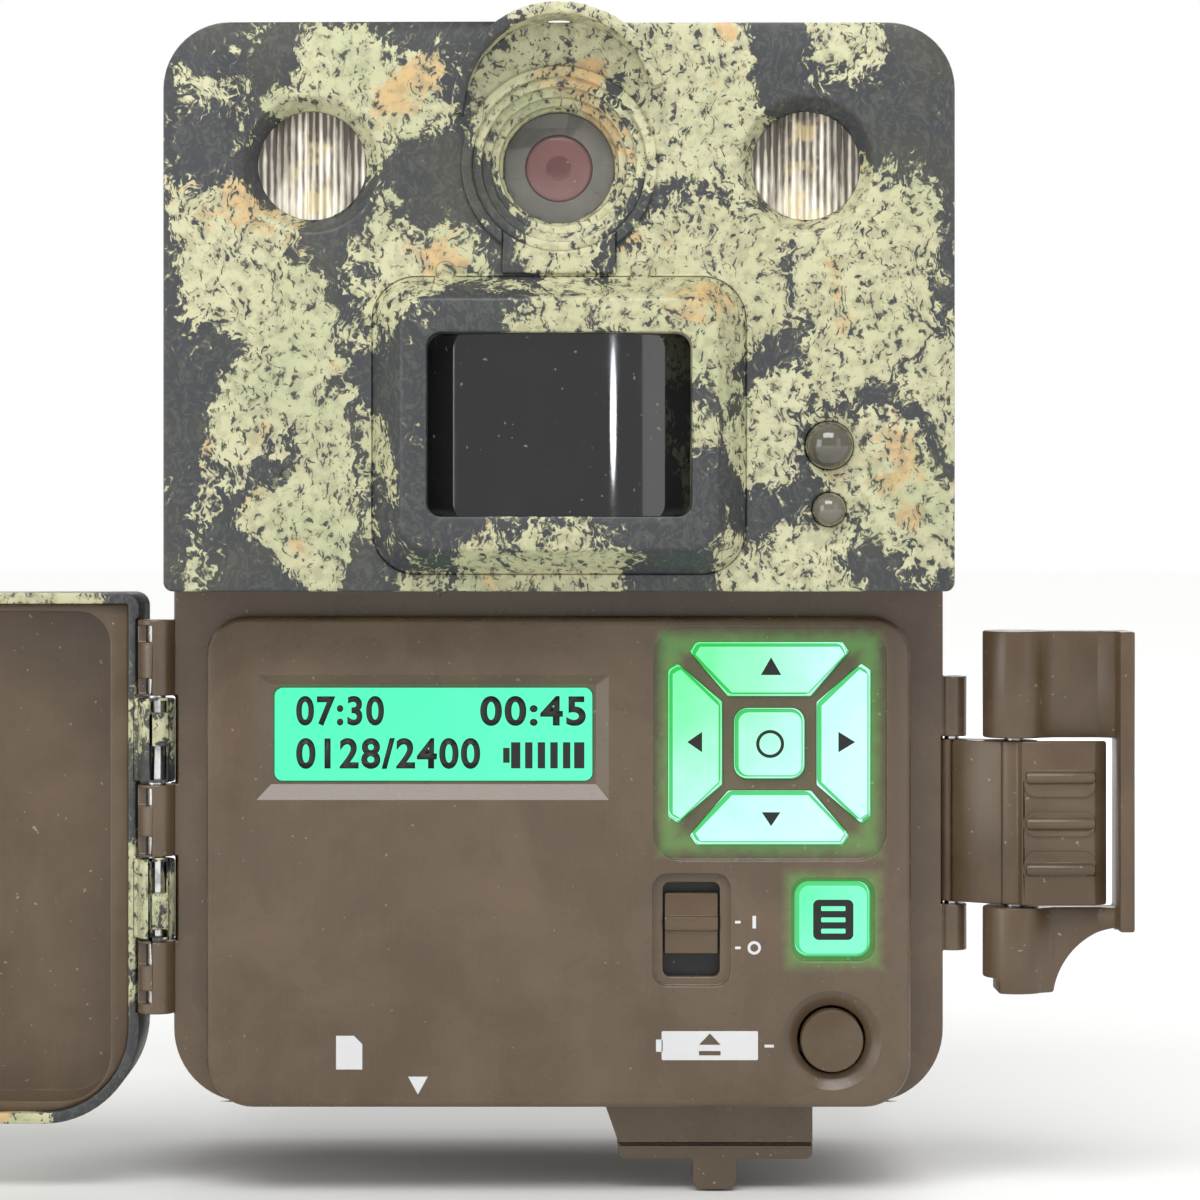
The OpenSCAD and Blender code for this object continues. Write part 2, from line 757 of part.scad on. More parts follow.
module board_chips() {
    color([0.06, 0.06, 0.06]) place() {
        box(3, 15, board_y + board_t, board_y + board_t + 1.4, 22, 34);
        box(19, 27, board_y + board_t, board_y + board_t + 1.1, 28, 38);
        box(3, 9, board_y + board_t, board_y + board_t + 1, 38, 44);
        peg(24, 20, 2.5, board_y + board_t, board_y + board_t + 5);
        peg(30, 42, 2, board_y + board_t, board_y + board_t + 4);
    }
}

module small_screw(at, seat) {
    peg(at[0], at[1], screw_r, seat - 4.2, seat + eps);
    difference() {
        peg(at[0], at[1], screw_head_r, seat, seat + 1.2);
        box(at[0] - 1.2, at[0] + 1.2, seat + 0.7, seat + 2, at[1] - 0.25, at[1] + 0.25);
    }
}

module board_screws() {
    color([0.7, 0.7, 0.72]) place() {
        for (at = panel_posts) small_screw(at, board_y + board_t);
        for (at = sensor_posts) small_screw(at, sensor_y + board_t);
        for (s = [-1, 1]) small_screw([s * (pir_w / 2 + 3), pir_z], face_y + 11 + board_t);
    }
}

module lcd_module() {
    color([0.75, 0.78, 0.76]) place()
        box(lcd_x - lcd_w / 2 - lcd_rim, lcd_x + lcd_w / 2 + lcd_rim, island_back + 0.1, board_y,
            lcd_z - lcd_h / 2 - lcd_rim, lcd_z + lcd_h / 2 + lcd_rim);
}

module lcd_window() {
    color([0.27, 0.98, 0.74]) place() slab(island_y + lcd_inset, island_y + lcd_inset + lcd_t)
        centred(lcd_x, lcd_z, lcd_w - 2 * fit, lcd_h - 2 * fit, lcd_r - fit);
}

module sd_socket() {
    color([0.78, 0.78, 0.8]) place() difference() {
        box(card_x - card_w / 2 - slot_clear - socket_wall, card_x + card_w / 2 + slot_clear + socket_wall,
            board_y + board_t, card_y + card_t + slot_clear + socket_wall, 5, card_z + card_h + 1.5);
        box(card_x - card_w / 2 - slot_clear, card_x + card_w / 2 + slot_clear,
            card_y - slot_clear, card_y + card_t + slot_clear, 4, card_z + card_h + 0.5);
    }
}

module dc_jack() {
    color([0.1, 0.1, 0.1]) place() {
        difference() {
            post(jack_x, jack_y, jack_r, 1 - boss_h, 1 - boss_h + jack_l);
            post(jack_x, jack_y, jack_bore / 2, -boss_h, 1 - boss_h + jack_l - 1.5);
        }
        post(jack_x, jack_y, jack_pin / 2, 2 - boss_h, 1 - boss_h + jack_l - 1);
    }
}

module ribbon_cable() {
    color([0.85, 0.6, 0.25]) place() {
        box(-8, 8, -6, -5.8, board_z1 - 6, lens_z - 8);
        box(-8, 8, board_y + board_t, -5.8, board_z1 - 6.2, board_z1 - 5.8);
        box(-8, 8, sensor_y + board_t, -5.8, lens_z - 8.2, lens_z - 7.8);
    }
}

module keypad_membrane() {
    color([0.8, 0.82, 0.8]) place() slab(board_y - membrane_t, board_y) {
        square_key(cluster_x, cluster_z, keys_w + 1.6, 1, 0);
        square_key(mode_x, mode_z, mode_w + 1.6, 1, 0);
    }
}

module arrow_button(turn) {
    slab(island_y, key_back) arrow_key(turn, 0);
    slab(pad_y + 0.1, key_back) arrow_key(turn, skirt);
}

module square_button(x, z, w) {
    slab(island_y, key_back) square_key(x, z, w, key_r, 0);
    slab(pad_y + 0.1, key_back) square_key(x, z, w, key_r, skirt);
}

module key_up() { color([0.45, 0.98, 0.75]) place() arrow_button(0); }
module key_left() { color([0.45, 0.98, 0.75]) place() arrow_button(90); }
module key_down() { color([0.45, 0.98, 0.75]) place() arrow_button(180); }
module key_right() { color([0.45, 0.98, 0.75]) place() arrow_button(270); }
module key_ok() { color([0.45, 0.98, 0.75]) place() square_button(cluster_x, cluster_z, ok_w); }
module key_mode() { color([0.45, 0.98, 0.75]) place() square_button(mode_x, mode_z, mode_w); }

module power_switch_body() {
    color([0.1, 0.1, 0.1]) place() difference() {
        box(switch_x - 4.4, switch_x + 4.4, island_back + 0.4, board_y, switch_z - 7, switch_z + 6.4);
        box(switch_x - 1.4, switch_x + 1.4, island_back, island_back + 1.6,
            knob_z - knob_travel - 1.4, knob_z + 1.4);
    }
}

module power_switch_knob() {
    color([0.36, 0.29, 0.23]) place() {
        box(switch_x - knob_w / 2, switch_x + knob_w / 2, island_y + 0.6, island_back + 0.2,
            knob_z - knob_l / 2, knob_z + knob_l / 2);
        box(switch_x - knob_w / 2, switch_x + knob_w / 2, island_y + 0.2, island_y + 1,
            knob_z - 0.75, knob_z + 0.75);
        box(switch_x - 1.1, switch_x + 1.1, island_back, island_back + 1.4, knob_z - 1.1, knob_z + 1.1);
    }
}

// ---- eject button, catch and battery tray ----

// The stem's tip and the catch share a face at 45 degrees, so the catch moves sideways
// as far as the button goes in
module eject_button() {
    color([0.36, 0.29, 0.23]) place() {
        peg(eject_x, eject_z, eject_r, island_y - 0.6, guide_y - 1 - eject_travel - 0.4);
        peg(eject_x, eject_z, stem_r, island_y, 0);
        intersection() {
            peg(eject_x, eject_z, stem_r, -eps, catch_y + 4);
            linear_extrude(case_h) polygon([
                [eject_x - 2, -1], [eject_x + 2, -1],
                [eject_x + 2, catch_y + 1 - 2 * wedge_gap * cos(45)],
                [eject_x - 2, catch_y + 5 - 2 * wedge_gap * cos(45)]]);
        }
    }
}

module eject_spring() {
    color([0.75, 0.75, 0.78]) place()
        for (i = [0:2]) translate([eject_x, guide_y - 1.35 - i * 0.75, eject_z]) rotate([90, 0, 0])
            rotate_extrude() translate([eject_r - 0.6, 0]) circle(spring_wire_r, $fn = 16);
}

module battery_catch() {
    color([0.85, 0.84, 0.8]) place() {
        difference() {
            box(catch_x0 + 2 * fit, eject_x + stem_r + 0.2, catch_y, catch_y + catch_l,
                catch_z0, catch_z0 + catch_h);
            translate([0, 0, catch_z0 - 1]) linear_extrude(catch_h + 2) polygon([
                [catch_x0 - 1, catch_y - 1], [eject_x + 4, catch_y - 1],
                [eject_x - stem_room, catch_y + 3 + stem_room], [catch_x0 - 1, catch_y + 3 + stem_room]]);
        }
        box(bay_half + gap / 2, catch_x0 + 0.2, catch_y + catch_l - nose_l, catch_y + catch_l,
            catch_z0 + 0.8, catch_z0 + catch_h - 0.8);
    }
}

module battery_tray() {
    color([0.32, 0.26, 0.2]) place() difference() {
        union() {
            box(-tray_half, tray_half, tray_y0, tray_y1, 0, cap_t);
            for (s = [-1, 1])
                box(s > 0 ? tray_half - tray_wall : -tray_half, s > 0 ? tray_half : -tray_half + tray_wall,
                    tray_y0, tray_y1, cap_t - eps, tray_top);
            box(-tray_half, tray_half, tray_y0 + cell_d, tray_y0 + cell_d + web, cap_t - eps, tray_top);
            box(-tray_half, tray_half, tray_y0, tray_y1, tray_top - tray_top_t, tray_top);
        }
        box(tray_half - 0.8, tray_half + 1, catch_y + catch_l - nose_l - 0.5, catch_y + catch_l + 0.5,
            catch_z0, catch_z0 + catch_h);
        for (y = [tray_y0 - 1, tray_y1 - 3]) box(-8, 8, y, y + 4, -1, 1);
    }
}

// Centres of the six cells, with +1 where the nub points up and -1 where it points down
function cells() = [for (row = [0, 1], i = [-1:1])
    [i * cell_pitch, tray_y0 + cell_d / 2 + row * (cell_d + web), (i + row) % 2 == 0 ? 1 : -1]];

module battery_cells() {
    color([0.75, 0.45, 0.18]) place() for (c = cells()) {
        z0 = cap_t + contact_t;
        post(c[0], c[1], cell_d / 2 - 0.1, c[2] > 0 ? z0 : z0 + 1, c[2] > 0 ? z0 + cell_l - 1 : z0 + cell_l);
        post(c[0], c[1], 2.7, c[2] > 0 ? z0 + cell_l - 1.1 : z0, c[2] > 0 ? z0 + cell_l : z0 + 1.1);
    }
}

module battery_contacts() {
    color([0.8, 0.8, 0.82]) place() for (c = cells()) {
        low = cap_t;
        high = tray_top - tray_top_t;
        box(c[0] - 5, c[0] + 5, c[1] - 5, c[1] + 5, low, low + 0.4);
        box(c[0] - 5, c[0] + 5, c[1] - 5, c[1] + 5, high - 0.4, high);
        for (i = [0:2]) {
            z = c[2] > 0 ? low + 0.7 + i * 0.5 : high - 0.7 - i * 0.5;
            translate([c[0], c[1], z]) rotate_extrude() translate([4 - i * 0.7, 0]) circle(0.3, $fn = 16);
        }
        post(c[0], c[1], 2, c[2] > 0 ? high - contact_t + 0.1 : low + 0.3,
             c[2] > 0 ? high - 0.3 : low + contact_t - 0.1);
    }
}

// ---- memory card and jack cover ----

module sd_card() {
    color([0.12, 0.16, 0.28]) place() slab(card_y, card_y + card_t)
        polygon([[card_x - card_w / 2, card_z], [card_x + card_w / 2, card_z],
                 [card_x + card_w / 2, card_z + card_h], [card_x - card_w / 2 + 4, card_z + card_h],
                 [card_x - card_w / 2, card_z + card_h - 4]]);
}

module jack_cover() {
    low = flap_axis_z - flap_t / 2;
    high = flap_axis_z + flap_t / 2;
    front_x0 = boss_x0 + boss_slant;
    color([0.34, 0.27, 0.2]) place() {
        difference() {
            slab(boss_y0, flap_axis_y)
                plate(front_x0, low, boss_x1, high, 0.8, 0.1);
            for (x = [boss_x0 + ear_x, boss_x1 - ear_x - ear_w])
                box(x - gap, x + ear_w + gap, flap_axis_y - 0.9 - 2 * gap, boss_y1, low - 1, high + 1);
        }
        translate([boss_x0 + ear_x + ear_w + gap, flap_axis_y, flap_axis_z]) rotate([0, 90, 0])
            cylinder(r = flap_t / 2, h = boss_x1 - boss_x0 - 2 * (ear_x + ear_w + gap));
        translate([boss_x0 + ear_x + 0.2, flap_axis_y, flap_axis_z]) rotate([0, 90, 0])
            cylinder(r = flap_pin_r, h = boss_x1 - boss_x0 - 2 * (ear_x + 0.2));
        post(jack_x, jack_y, jack_bore / 2 - 0.3, high - eps, high + 0.8);
        slab(boss_y0, boss_y0 + 3.2)
            plate(jack_x - tab_w / 2, low - tab_h, jack_x + tab_w / 2, low + 0.5, 1.2, 0.1);
    }
}

// ---- door: drawn closed, then turned half a turn about its hinge into the open place ----

module open_door() {
    translate([2 * hinge_x, 2 * flange_y, 0]) rotate([0, 0, 180]) children();
}

module door_outline(inset) {
    plate(-half_w + inset, door_z0 + inset, half_w - inset, door_z1 - inset, door_low_r - inset,
          max(door_top_r - inset, 0.3));
}

module door_cuts() {
    for (i = [0, 2, 4]) post(hinge_x, flange_y, relief, knuckle_z[i] - gap / 2, knuckle_z[i + 1] + gap / 2);
    box(half_w - 1.7, half_w + 1, catch_notch_y - hook_reach + 3.6 - lip_t - 4, door_y1 - 2.2,
        lip_z0 - 0.6, hook_z1 + 0.6);
}

module door_shell() {
    color([0.70, 0.70, 0.56]) place() open_door() difference() {
        union() {
            difference() {
                slab(face_y, door_y1) door_outline(0);
                slab(face_y + door_wall, door_y1 + 1) door_outline(door_wall);
            }
            for (i = [1, 3]) {
                z0 = knuckle_z[i] + knuckle_gap;
                z1 = knuckle_z[i + 1] - knuckle_gap;
                barrel(z0, z1, flange_y - arm_t, door_y1 + 0.2, -half_w + 0.6);
            }
        }
        door_cuts();
        post(hinge_x, flange_y, hinge_pin_r + fit, 0, split_z);
    }
}

module door_liner() {
    color([0.36, 0.29, 0.23]) place() open_door() difference() {
        slab(face_y + door_wall, door_y1 - shelf_drop) door_outline(door_wall);
        slab(face_y + door_wall + liner_t, door_y1)
            plate(-liner_inner, door_z0 + door_wall + 1.2, liner_inner, island_top + 0.5, low_r - 3, 3.5);
        door_cuts();
        post(hinge_x, flange_y, relief, 0, split_z);
    }
}

module door_hinge_pin() {
    color([0.8, 0.8, 0.82]) place()
        post(hinge_x, flange_y, hinge_pin_r, knuckle_z[0] + pin_in, knuckle_z[5] - pin_in);
}

// ---- latch ----

// The hook's carrier: hub on the case, a bent web, and the finger tab beyond the hook's pin
module latch_lever() {
    h = lever_z1 - lever_z0;
    color([0.36, 0.29, 0.23]) place() difference() {
        union() {
            translate([0, 0, lever_z0]) linear_extrude(h) {
                translate([lever_x, lever_y]) circle(lever_hub_r);
                translate([hook_x, hook_y]) circle(2.6);
                polygon([[lever_x - 0.2, lever_y - lever_hub_r], [lever_x + 0.9, lever_y + 1.2],
                         [hook_x - 0.4, hook_y + 2.4], [hook_x - 1.6, hook_y - 2.2]]);
                polygon([[hook_x, hook_y + tab_y0 + 0.9], [hook_x + 0.4, hook_y + tab_y0],
                         [hook_x + tab_reach - 1.4, hook_y + tab_y0],
                         [hook_x + tab_reach, hook_y + tab_y0 + 1.2],
                         [hook_x + tab_reach, hook_y + tab_y0 + tab_t + 0.8],
                         [hook_x + tab_reach - 1.2, hook_y + tab_y0 + tab_t],
                         [hook_x + 1.5, hook_y + tab_y0 + tab_t],
                         [hook_x + 1.5, hook_y + 2], [hook_x, hook_y + 2]]);
            }
            for (i = [-1:1])
                translate([hook_x + 0.8, hook_y + tab_y0 + 0.15, (lever_z0 + lever_z1) / 2 + i * 4.9])
                    rotate([0, 90, 0]) cylinder(r = 0.7, h = tab_reach - 2.2);
        }
        post(lever_x, lever_y, lever_pin_r + fit, lever_z0 - 1, lever_z1 + 1);
        post(hook_x, hook_y, hook_pin_r + fit, lever_z0 - 1, lever_z1 + 1);
    }
}

// One arm of the hook in plan: barrel, dished plate and lip
module hook_plan() {
    translate([hook_x, hook_y]) {
        circle(hook_barrel_r);
        polygon([[0, plate_y0 + plate_t], [0, -2.2], [2.4, -2.2], [4.3, plate_y0],
                 [hook_reach - 1.8, plate_y0], [hook_reach, -2.4], [hook_reach, lip_front],
                 [hook_reach + lip_t, lip_front],
                 [hook_reach + lip_t, plate_y0 + plate_t]]);
    }
}

module latch_hook() {
    color([0.36, 0.29, 0.23]) place() difference() {
        union() {
            translate([0, 0, lever_z1 + gap]) linear_extrude(hook_z1 - lever_z1 - gap) hook_plan();
            difference() {
                translate([0, 0, hook_z0]) linear_extrude(lever_z0 - gap - hook_z0) hook_plan();
                translate([hook_x + scoop_x, 0, hook_z0 - 1.2]) rotate([90, 0, 0])
                    cylinder(r = scoop_r, h = 2 * rear_d, center = true);
            }
            translate([0, 0, lip_z0]) linear_extrude(hook_z1 - lip_z0) translate([hook_x, hook_y])
                polygon([[hook_reach, plate_y0 + plate_t], [hook_reach, lip_front],
                         [hook_reach + lip_t, lip_front], [hook_reach + lip_t, plate_y0 + plate_t]]);
        }
        post(hook_x, hook_y, hook_pin_r + fit, hook_z0 - 1, hook_z1 + 1);
        box(hook_x - hook_barrel_r - 1, hook_x - hook_barrel_r + 1.4, hook_y - 6, hook_y + 6,
            hook_z0 - 1, hook_z0 + 1.6);
    }
}

module latch_pin() {
    color([0.8, 0.8, 0.82]) place() post(lever_x, lever_y, lever_pin_r, arm_lo_z + 0.2, arm_hi_z - 0.2);
}

module hook_pin() {
    color([0.8, 0.8, 0.82]) place() post(hook_x, hook_y, hook_pin_r, hook_z0 + 0.6, hook_z1 - 0.4);
}

front_housing();
control_panel();
rear_housing();
housing_gasket();
case_screws();
tripod_insert();
lens_window();
lens_mask_ring();
lens_barrel();
lens_elements();
lens_holder();
image_sensor();
sensor_board();
flash_window_left();
flash_window_right();
flash_reflector_left();
flash_reflector_right();
flash_led_left();
flash_led_right();
pir_window();
pir_sensor();
status_dome();
light_sensor_dome();
microphone();
main_board();
board_chips();
board_screws();
lcd_module();
lcd_window();
sd_socket();
dc_jack();
ribbon_cable();
keypad_membrane();
key_up();
key_down();
key_left();
key_right();
key_ok();
key_mode();
power_switch_body();
power_switch_knob();
eject_button();
eject_spring();
battery_catch();
battery_tray();
battery_cells();
battery_contacts();
sd_card();
jack_cover();
door_shell();
door_liner();
door_hinge_pin();
latch_lever();
latch_hook();
latch_pin();
hook_pin();
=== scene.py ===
# %% [markdown]
# # A trail camera, finished in Blender
# The construction comes in as a fixed frame: every moulding, board, spring and screw is already at its
# real size and place. This lesson gives that frame its looks. Each step says what the real piece is, how
# it could be made, and why it is made this way. The size of the frame is noted first, because nothing
# added later may make the object bigger.

# %% Load the frame
import math

import bpy
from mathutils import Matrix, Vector


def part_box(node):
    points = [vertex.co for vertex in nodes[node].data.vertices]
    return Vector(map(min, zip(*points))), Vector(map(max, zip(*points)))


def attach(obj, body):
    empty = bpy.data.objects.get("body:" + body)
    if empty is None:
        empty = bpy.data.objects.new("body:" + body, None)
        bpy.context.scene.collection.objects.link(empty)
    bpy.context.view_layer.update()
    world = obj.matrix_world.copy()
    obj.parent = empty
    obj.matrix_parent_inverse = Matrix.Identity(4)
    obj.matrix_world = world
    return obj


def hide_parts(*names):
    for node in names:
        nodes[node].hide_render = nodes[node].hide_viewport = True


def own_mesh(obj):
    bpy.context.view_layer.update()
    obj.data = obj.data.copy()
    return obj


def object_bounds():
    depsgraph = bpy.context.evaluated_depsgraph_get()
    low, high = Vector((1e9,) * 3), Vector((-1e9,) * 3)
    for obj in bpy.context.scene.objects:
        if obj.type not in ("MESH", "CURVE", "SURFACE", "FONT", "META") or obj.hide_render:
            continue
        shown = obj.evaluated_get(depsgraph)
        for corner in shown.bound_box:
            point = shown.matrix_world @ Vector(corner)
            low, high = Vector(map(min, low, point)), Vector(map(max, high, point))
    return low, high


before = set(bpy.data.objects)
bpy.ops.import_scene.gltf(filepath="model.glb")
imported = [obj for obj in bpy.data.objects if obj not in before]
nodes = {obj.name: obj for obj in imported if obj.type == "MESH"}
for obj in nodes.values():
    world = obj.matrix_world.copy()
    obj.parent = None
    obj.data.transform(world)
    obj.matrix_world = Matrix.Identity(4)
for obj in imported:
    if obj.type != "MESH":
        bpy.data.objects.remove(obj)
cad_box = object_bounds()
MM = 0.001
print("nodes:", len(nodes), "box:", [tuple(round(v, 4) for v in c) for c in cad_box])

# %% [markdown]
# ## Measuring from the case
# The drawing of the camera is in millimetres from the middle of its base, with depth counted from the
# line where the two halves of the case meet. The rear half's box gives both: its front is that line and
# its foot is the base. One small function turns those millimetres into places in the frame, so every
# number below can be checked with a ruler on the case.

# %% Places on the case
rear_low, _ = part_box("rear_housing")
PARTING, BASE = rear_low.y, rear_low.z


def at(x, y, z):
    """A place in the frame, from millimetres across, behind the parting line and above the base."""
    return Vector((x * MM, PARTING + y * MM, BASE + z * MM))


def front_of(node):
    """How far the front of a node is from the parting line, in millimetres."""
    return (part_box(node)[0].y - PARTING) / MM


def middle_of(node):
    """The middle of a node across and up, in millimetres on the case."""
    low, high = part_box(node)
    return (low.x + high.x) / 2 / MM, ((low.z + high.z) / 2 - BASE) / MM


print("parting line", round(PARTING, 4), "base", round(BASE, 4), "face", round(front_of("front_housing"), 2))

# %% [markdown]
# ## The camera and the light
# The camera looks straight at the face from 0.4 m with a long lens, level with the display, and is
# shifted a little so that its axis isn't the middle of the picture. A plain studio could be one big
# softbox, but a satin moulding needs something to reflect: a broad light above gives the bright top
# edges, a tall narrow one at the right draws the upright streak in the curved black window, and a weak
# one from the left keeps the shaded sides readable. The floor runs back far enough to look endless.

# %% Camera, floor and lights
bpy.ops.object.select_all(action="DESELECT")
bpy.ops.object.camera_add(location=(-0.002, -0.458, -0.0193), rotation=(math.pi / 2, 0, 0))
camera = bpy.context.object
camera.data.lens = 114.5
camera.data.sensor_width = 36
camera.data.shift_x = 0.05
camera.data.shift_y = -0.05
camera.data.clip_start = 0.01
bpy.context.scene.camera = camera


def softbox(name, place, width, height, watts, colour=(1, 1, 1)):
    """A rectangular light that faces the camera's subject."""
    bpy.ops.object.light_add(type="AREA", location=place)
    lamp = bpy.context.object
    lamp.name = name
    lamp.data.shape = "RECTANGLE"
    lamp.data.size, lamp.data.size_y = width, height
    lamp.data.energy = watts
    lamp.data.color = colour
    aim = Vector((0, -0.04, -0.02)) - lamp.location
    lamp.rotation_euler = aim.to_track_quat("-Z", "Y").to_euler()
    return lamp


softbox("light_above", (-0.10, -0.75, 0.85), 0.9, 0.5, 9)
softbox("light_right", (0.9, -1.0, 0.3), 0.5, 0.8, 1.1)
softbox("light_left", (-0.9, -0.7, 0.1), 0.5, 0.8, 3.5)
softbox("light_behind", (0.3, 0.9, 0.7), 0.8, 0.6, 6)
glint = softbox("light_glint", (0.47, -1.25, 0.036), 0.055, 0.06, 0.16, (0.9, 0.95, 1))
glint.data.shape = "ELLIPSE"

bpy.ops.mesh.primitive_plane_add(size=12, location=(0, 2.0, cad_box[0][2] - 0.0002))
floor = bpy.context.object
floor.name = "studio_floor"

world = bpy.data.worlds.new("studio_air")
bpy.context.scene.world = world
world.use_nodes = True
world.node_tree.nodes["Background"].inputs["Color"].default_value = (1, 1, 1, 1)
sight = world.node_tree.nodes.new("ShaderNodeLightPath")
level = world.node_tree.nodes.new("ShaderNodeMapRange")
level.inputs["To Min"].default_value = 0.55
level.inputs["To Max"].default_value = 1.0
world.node_tree.links.new(sight.outputs["Is Camera Ray"], level.inputs["Value"])
world.node_tree.links.new(level.outputs["Result"], world.node_tree.nodes["Background"].inputs["Strength"])
bpy.context.scene.view_settings.view_transform = "Standard"

# %% [markdown]
# ## Shader groups: effects that several finishes share
# A moulded part is never one flat colour: the resin flows, the steel mould leaves a fine grain, handling
# leaves dust. Each effect is one node group with named inputs, so that a material is a short recipe of
# groups. The groups only hand over colours and numbers, and the Principled shader stays in the material.

# %% Helpers for node groups and materials
def group_of(name, inputs, outputs):
    """A new shader group with named sockets, given as (name, kind, value) and (name, kind)."""
    tree = bpy.data.node_groups.new(name, "ShaderNodeTree")
    for label, kind, value in inputs:
        socket = tree.interface.new_socket(label, in_out="INPUT", socket_type="NodeSocket" + kind)
        socket.default_value = value
    for label, kind in outputs:
        tree.interface.new_socket(label, in_out="OUTPUT", socket_type="NodeSocket" + kind)
    return tree, tree.nodes.new("NodeGroupInput"), tree.nodes.new("NodeGroupOutput")


def add(tree, kind, links=(), **settings):
    """A node of that kind; settings are its properties, and links are (input, value or socket) pairs."""
    node = tree.nodes.new("ShaderNode" + kind)
    for key, value in settings.items():
        setattr(node, key, value)
    for socket, value in links:
        if isinstance(value, bpy.types.NodeSocket):
            tree.links.new(value, node.inputs[socket])
        else:
            node.inputs[socket].default_value = value
    return node


def maths(tree, operation, a, b=0.0, clamp=False):
    """One Math node, and its result."""
    return add(tree, "Math", [(0, a), (1, b)], operation=operation, use_clamp=clamp).outputs[0]


def swing(tree, value, amount):
    """A value from 0 to 1 turned into one that swings either side of nothing by half the amount."""
    return maths(tree, "MULTIPLY", maths(tree, "SUBTRACT", value, 0.5), amount)


def smooth_step(tree, value, low, high, start=0.0, end=1.0):
    """Turns a value into a soft edged mask: start below low, end above high."""
    node = add(tree, "MapRange", [("Value", value), ("From Min", low), ("From Max", high),
                                  ("To Min", start), ("To Max", end)], interpolation_type="SMOOTHSTEP")
    return node.outputs["Result"]


def blend(tree, share, first, second):
    """Mixes two colours by a share from 0 to 1."""
    node = tree.nodes.new("ShaderNodeMix")
    node.data_type = "RGBA"
    for socket, value in ((0, share), (6, first), (7, second)):
        if isinstance(value, bpy.types.NodeSocket):
            tree.links.new(value, node.inputs[socket])
        else:
            node.inputs[socket].default_value = value
    return node.outputs[2]


def noise(tree, place, scale, detail=2.0, rough=0.5, warp=0.0):
    """A Noise texture's value at a place, with its scale per metre."""
    node = add(tree, "TexNoise", [("Vector", place), ("Scale", scale), ("Detail", detail),
                                  ("Roughness", rough), ("Distortion", warp)])
    return node.outputs["Fac"]


def rgb(r, g, b):
    """A colour as a screen shows it, 0 to 255, turned into the linear light that shaders use."""
    return tuple(c / 12.92 if c <= 0.04045 else ((c + 0.055) / 1.055) ** 2.4
                 for c in (r / 255, g / 255, b / 255)) + (1.0,)


print("helpers ready; mid brown is", [round(c, 3) for c in rgb(92, 76, 58)[:3]])

# %% [markdown]
# ### Moulded plastic
# Satin mouldings show three things at once: clouds of slightly different tone a few millimetres wide,
# a spark-eroded grain of about a fifth of a millimetre, and a few pale specks of dust. A picture could
# hold them, but noise in object space covers every side of the part without a seam, so it is used here.

# %% Group: moulded grain
moulded, g_in, g_out = group_of("moulded_grain", [
    ("Colour", "Color", (0.1, 0.07, 0.05, 1)), ("Worn Colour", "Color", (0.2, 0.15, 0.1, 1)),
    ("Grain Scale", "Float", 4200.0), ("Clouds", "Float", 0.25), ("Dust", "Float", 0.5),
    ("Gloss", "Float", 0.4)],
    [("Colour", "Color"), ("Roughness", "Float"), ("Height", "Float")])
place = add(moulded, "TexCoord").outputs["Object"]
clouds = noise(moulded, place, 95, 4, 0.6, 0.4)
grain = noise(moulded, place, g_in.outputs["Grain Scale"], 2, 0.6)
drag = noise(moulded, add(moulded, "Mapping", [("Vector", place), ("Scale", (1.0, 1.0, 0.06))]).outputs[0],
             2600, 2, 0.7)
share = maths(moulded, "MULTIPLY", smooth_step(moulded, clouds, 0.3, 0.75), g_in.outputs["Clouds"])
share = maths(moulded, "ADD", share, swing(moulded, drag, 0.22))
share = maths(moulded, "ADD", share, swing(moulded, grain, 0.16),
              clamp=True)
body_colour = blend(moulded, share, g_in.outputs["Colour"], g_in.outputs["Worn Colour"])
specks = smooth_step(moulded, noise(moulded, place, 1500, 1, 0.5), 0.735, 0.79)
specks = maths(moulded, "MULTIPLY", specks, g_in.outputs["Dust"])
moulded.links.new(blend(moulded, specks, body_colour, rgb(170, 160, 145)), g_out.inputs["Colour"])
rough = maths(moulded, "ADD", g_in.outputs["Gloss"],
              swing(moulded, clouds, 0.22))
moulded.links.new(maths(moulded, "ADD", rough, maths(moulded, "MULTIPLY", specks, 0.3)),
                  g_out.inputs["Roughness"])
moulded.links.new(maths(moulded, "ADD", grain, maths(moulded, "MULTIPLY", drag, 0.35)),
                  g_out.inputs["Height"])
print("group", moulded.name, "with", len(moulded.nodes), "nodes")

# %% [markdown]
# ### Bark camouflage
# The case is dipped in a printed film of tree bark: pale plates the size of a fingertip, split by broad
# charcoal cracks, the whole peppered with flecks that run mostly up and down, with touches of rust and
# lichen green. Cells with warped borders give plates and cracks; one coarse noise decides where the
# cracks open into wide dark patches; two fine noises, one stretched, break every edge into crumbs. It
# is a generic bark of its own, and copies no maker's print.

# %% Group: bark camouflage
bark, g_in, g_out = group_of("bark_camouflage", [
    ("Plate Scale", "Float", 58.0), ("Fleck Scale", "Float", 1900.0), ("Openness", "Float", 0.455)],
    [("Colour", "Color"), ("Roughness", "Float"), ("Height", "Float")])
place = add(bark, "TexCoord").outputs["Object"]
wander = add(bark, "TexNoise", [("Vector", place), ("Scale", 120.0), ("Detail", 4.0), ("Roughness", 0.62)])
offset = add(bark, "VectorMath", [(0, wander.outputs["Color"]), (1, (0.5, 0.5, 0.5))], operation="SUBTRACT")
offset = add(bark, "VectorMath", [(0, offset.outputs[0]), ("Scale", 0.011)], operation="SCALE")
warped = add(bark, "VectorMath", [(0, place), (1, offset.outputs[0])], operation="ADD").outputs[0]
squeezed = add(bark, "Mapping", [("Vector", warped), ("Rotation", (0.0, math.radians(9), 0.0)),
                                 ("Location", (0.013, 0.0, 0.006)), ("Scale", (1.0, 0.75, 0.72))]).outputs[0]
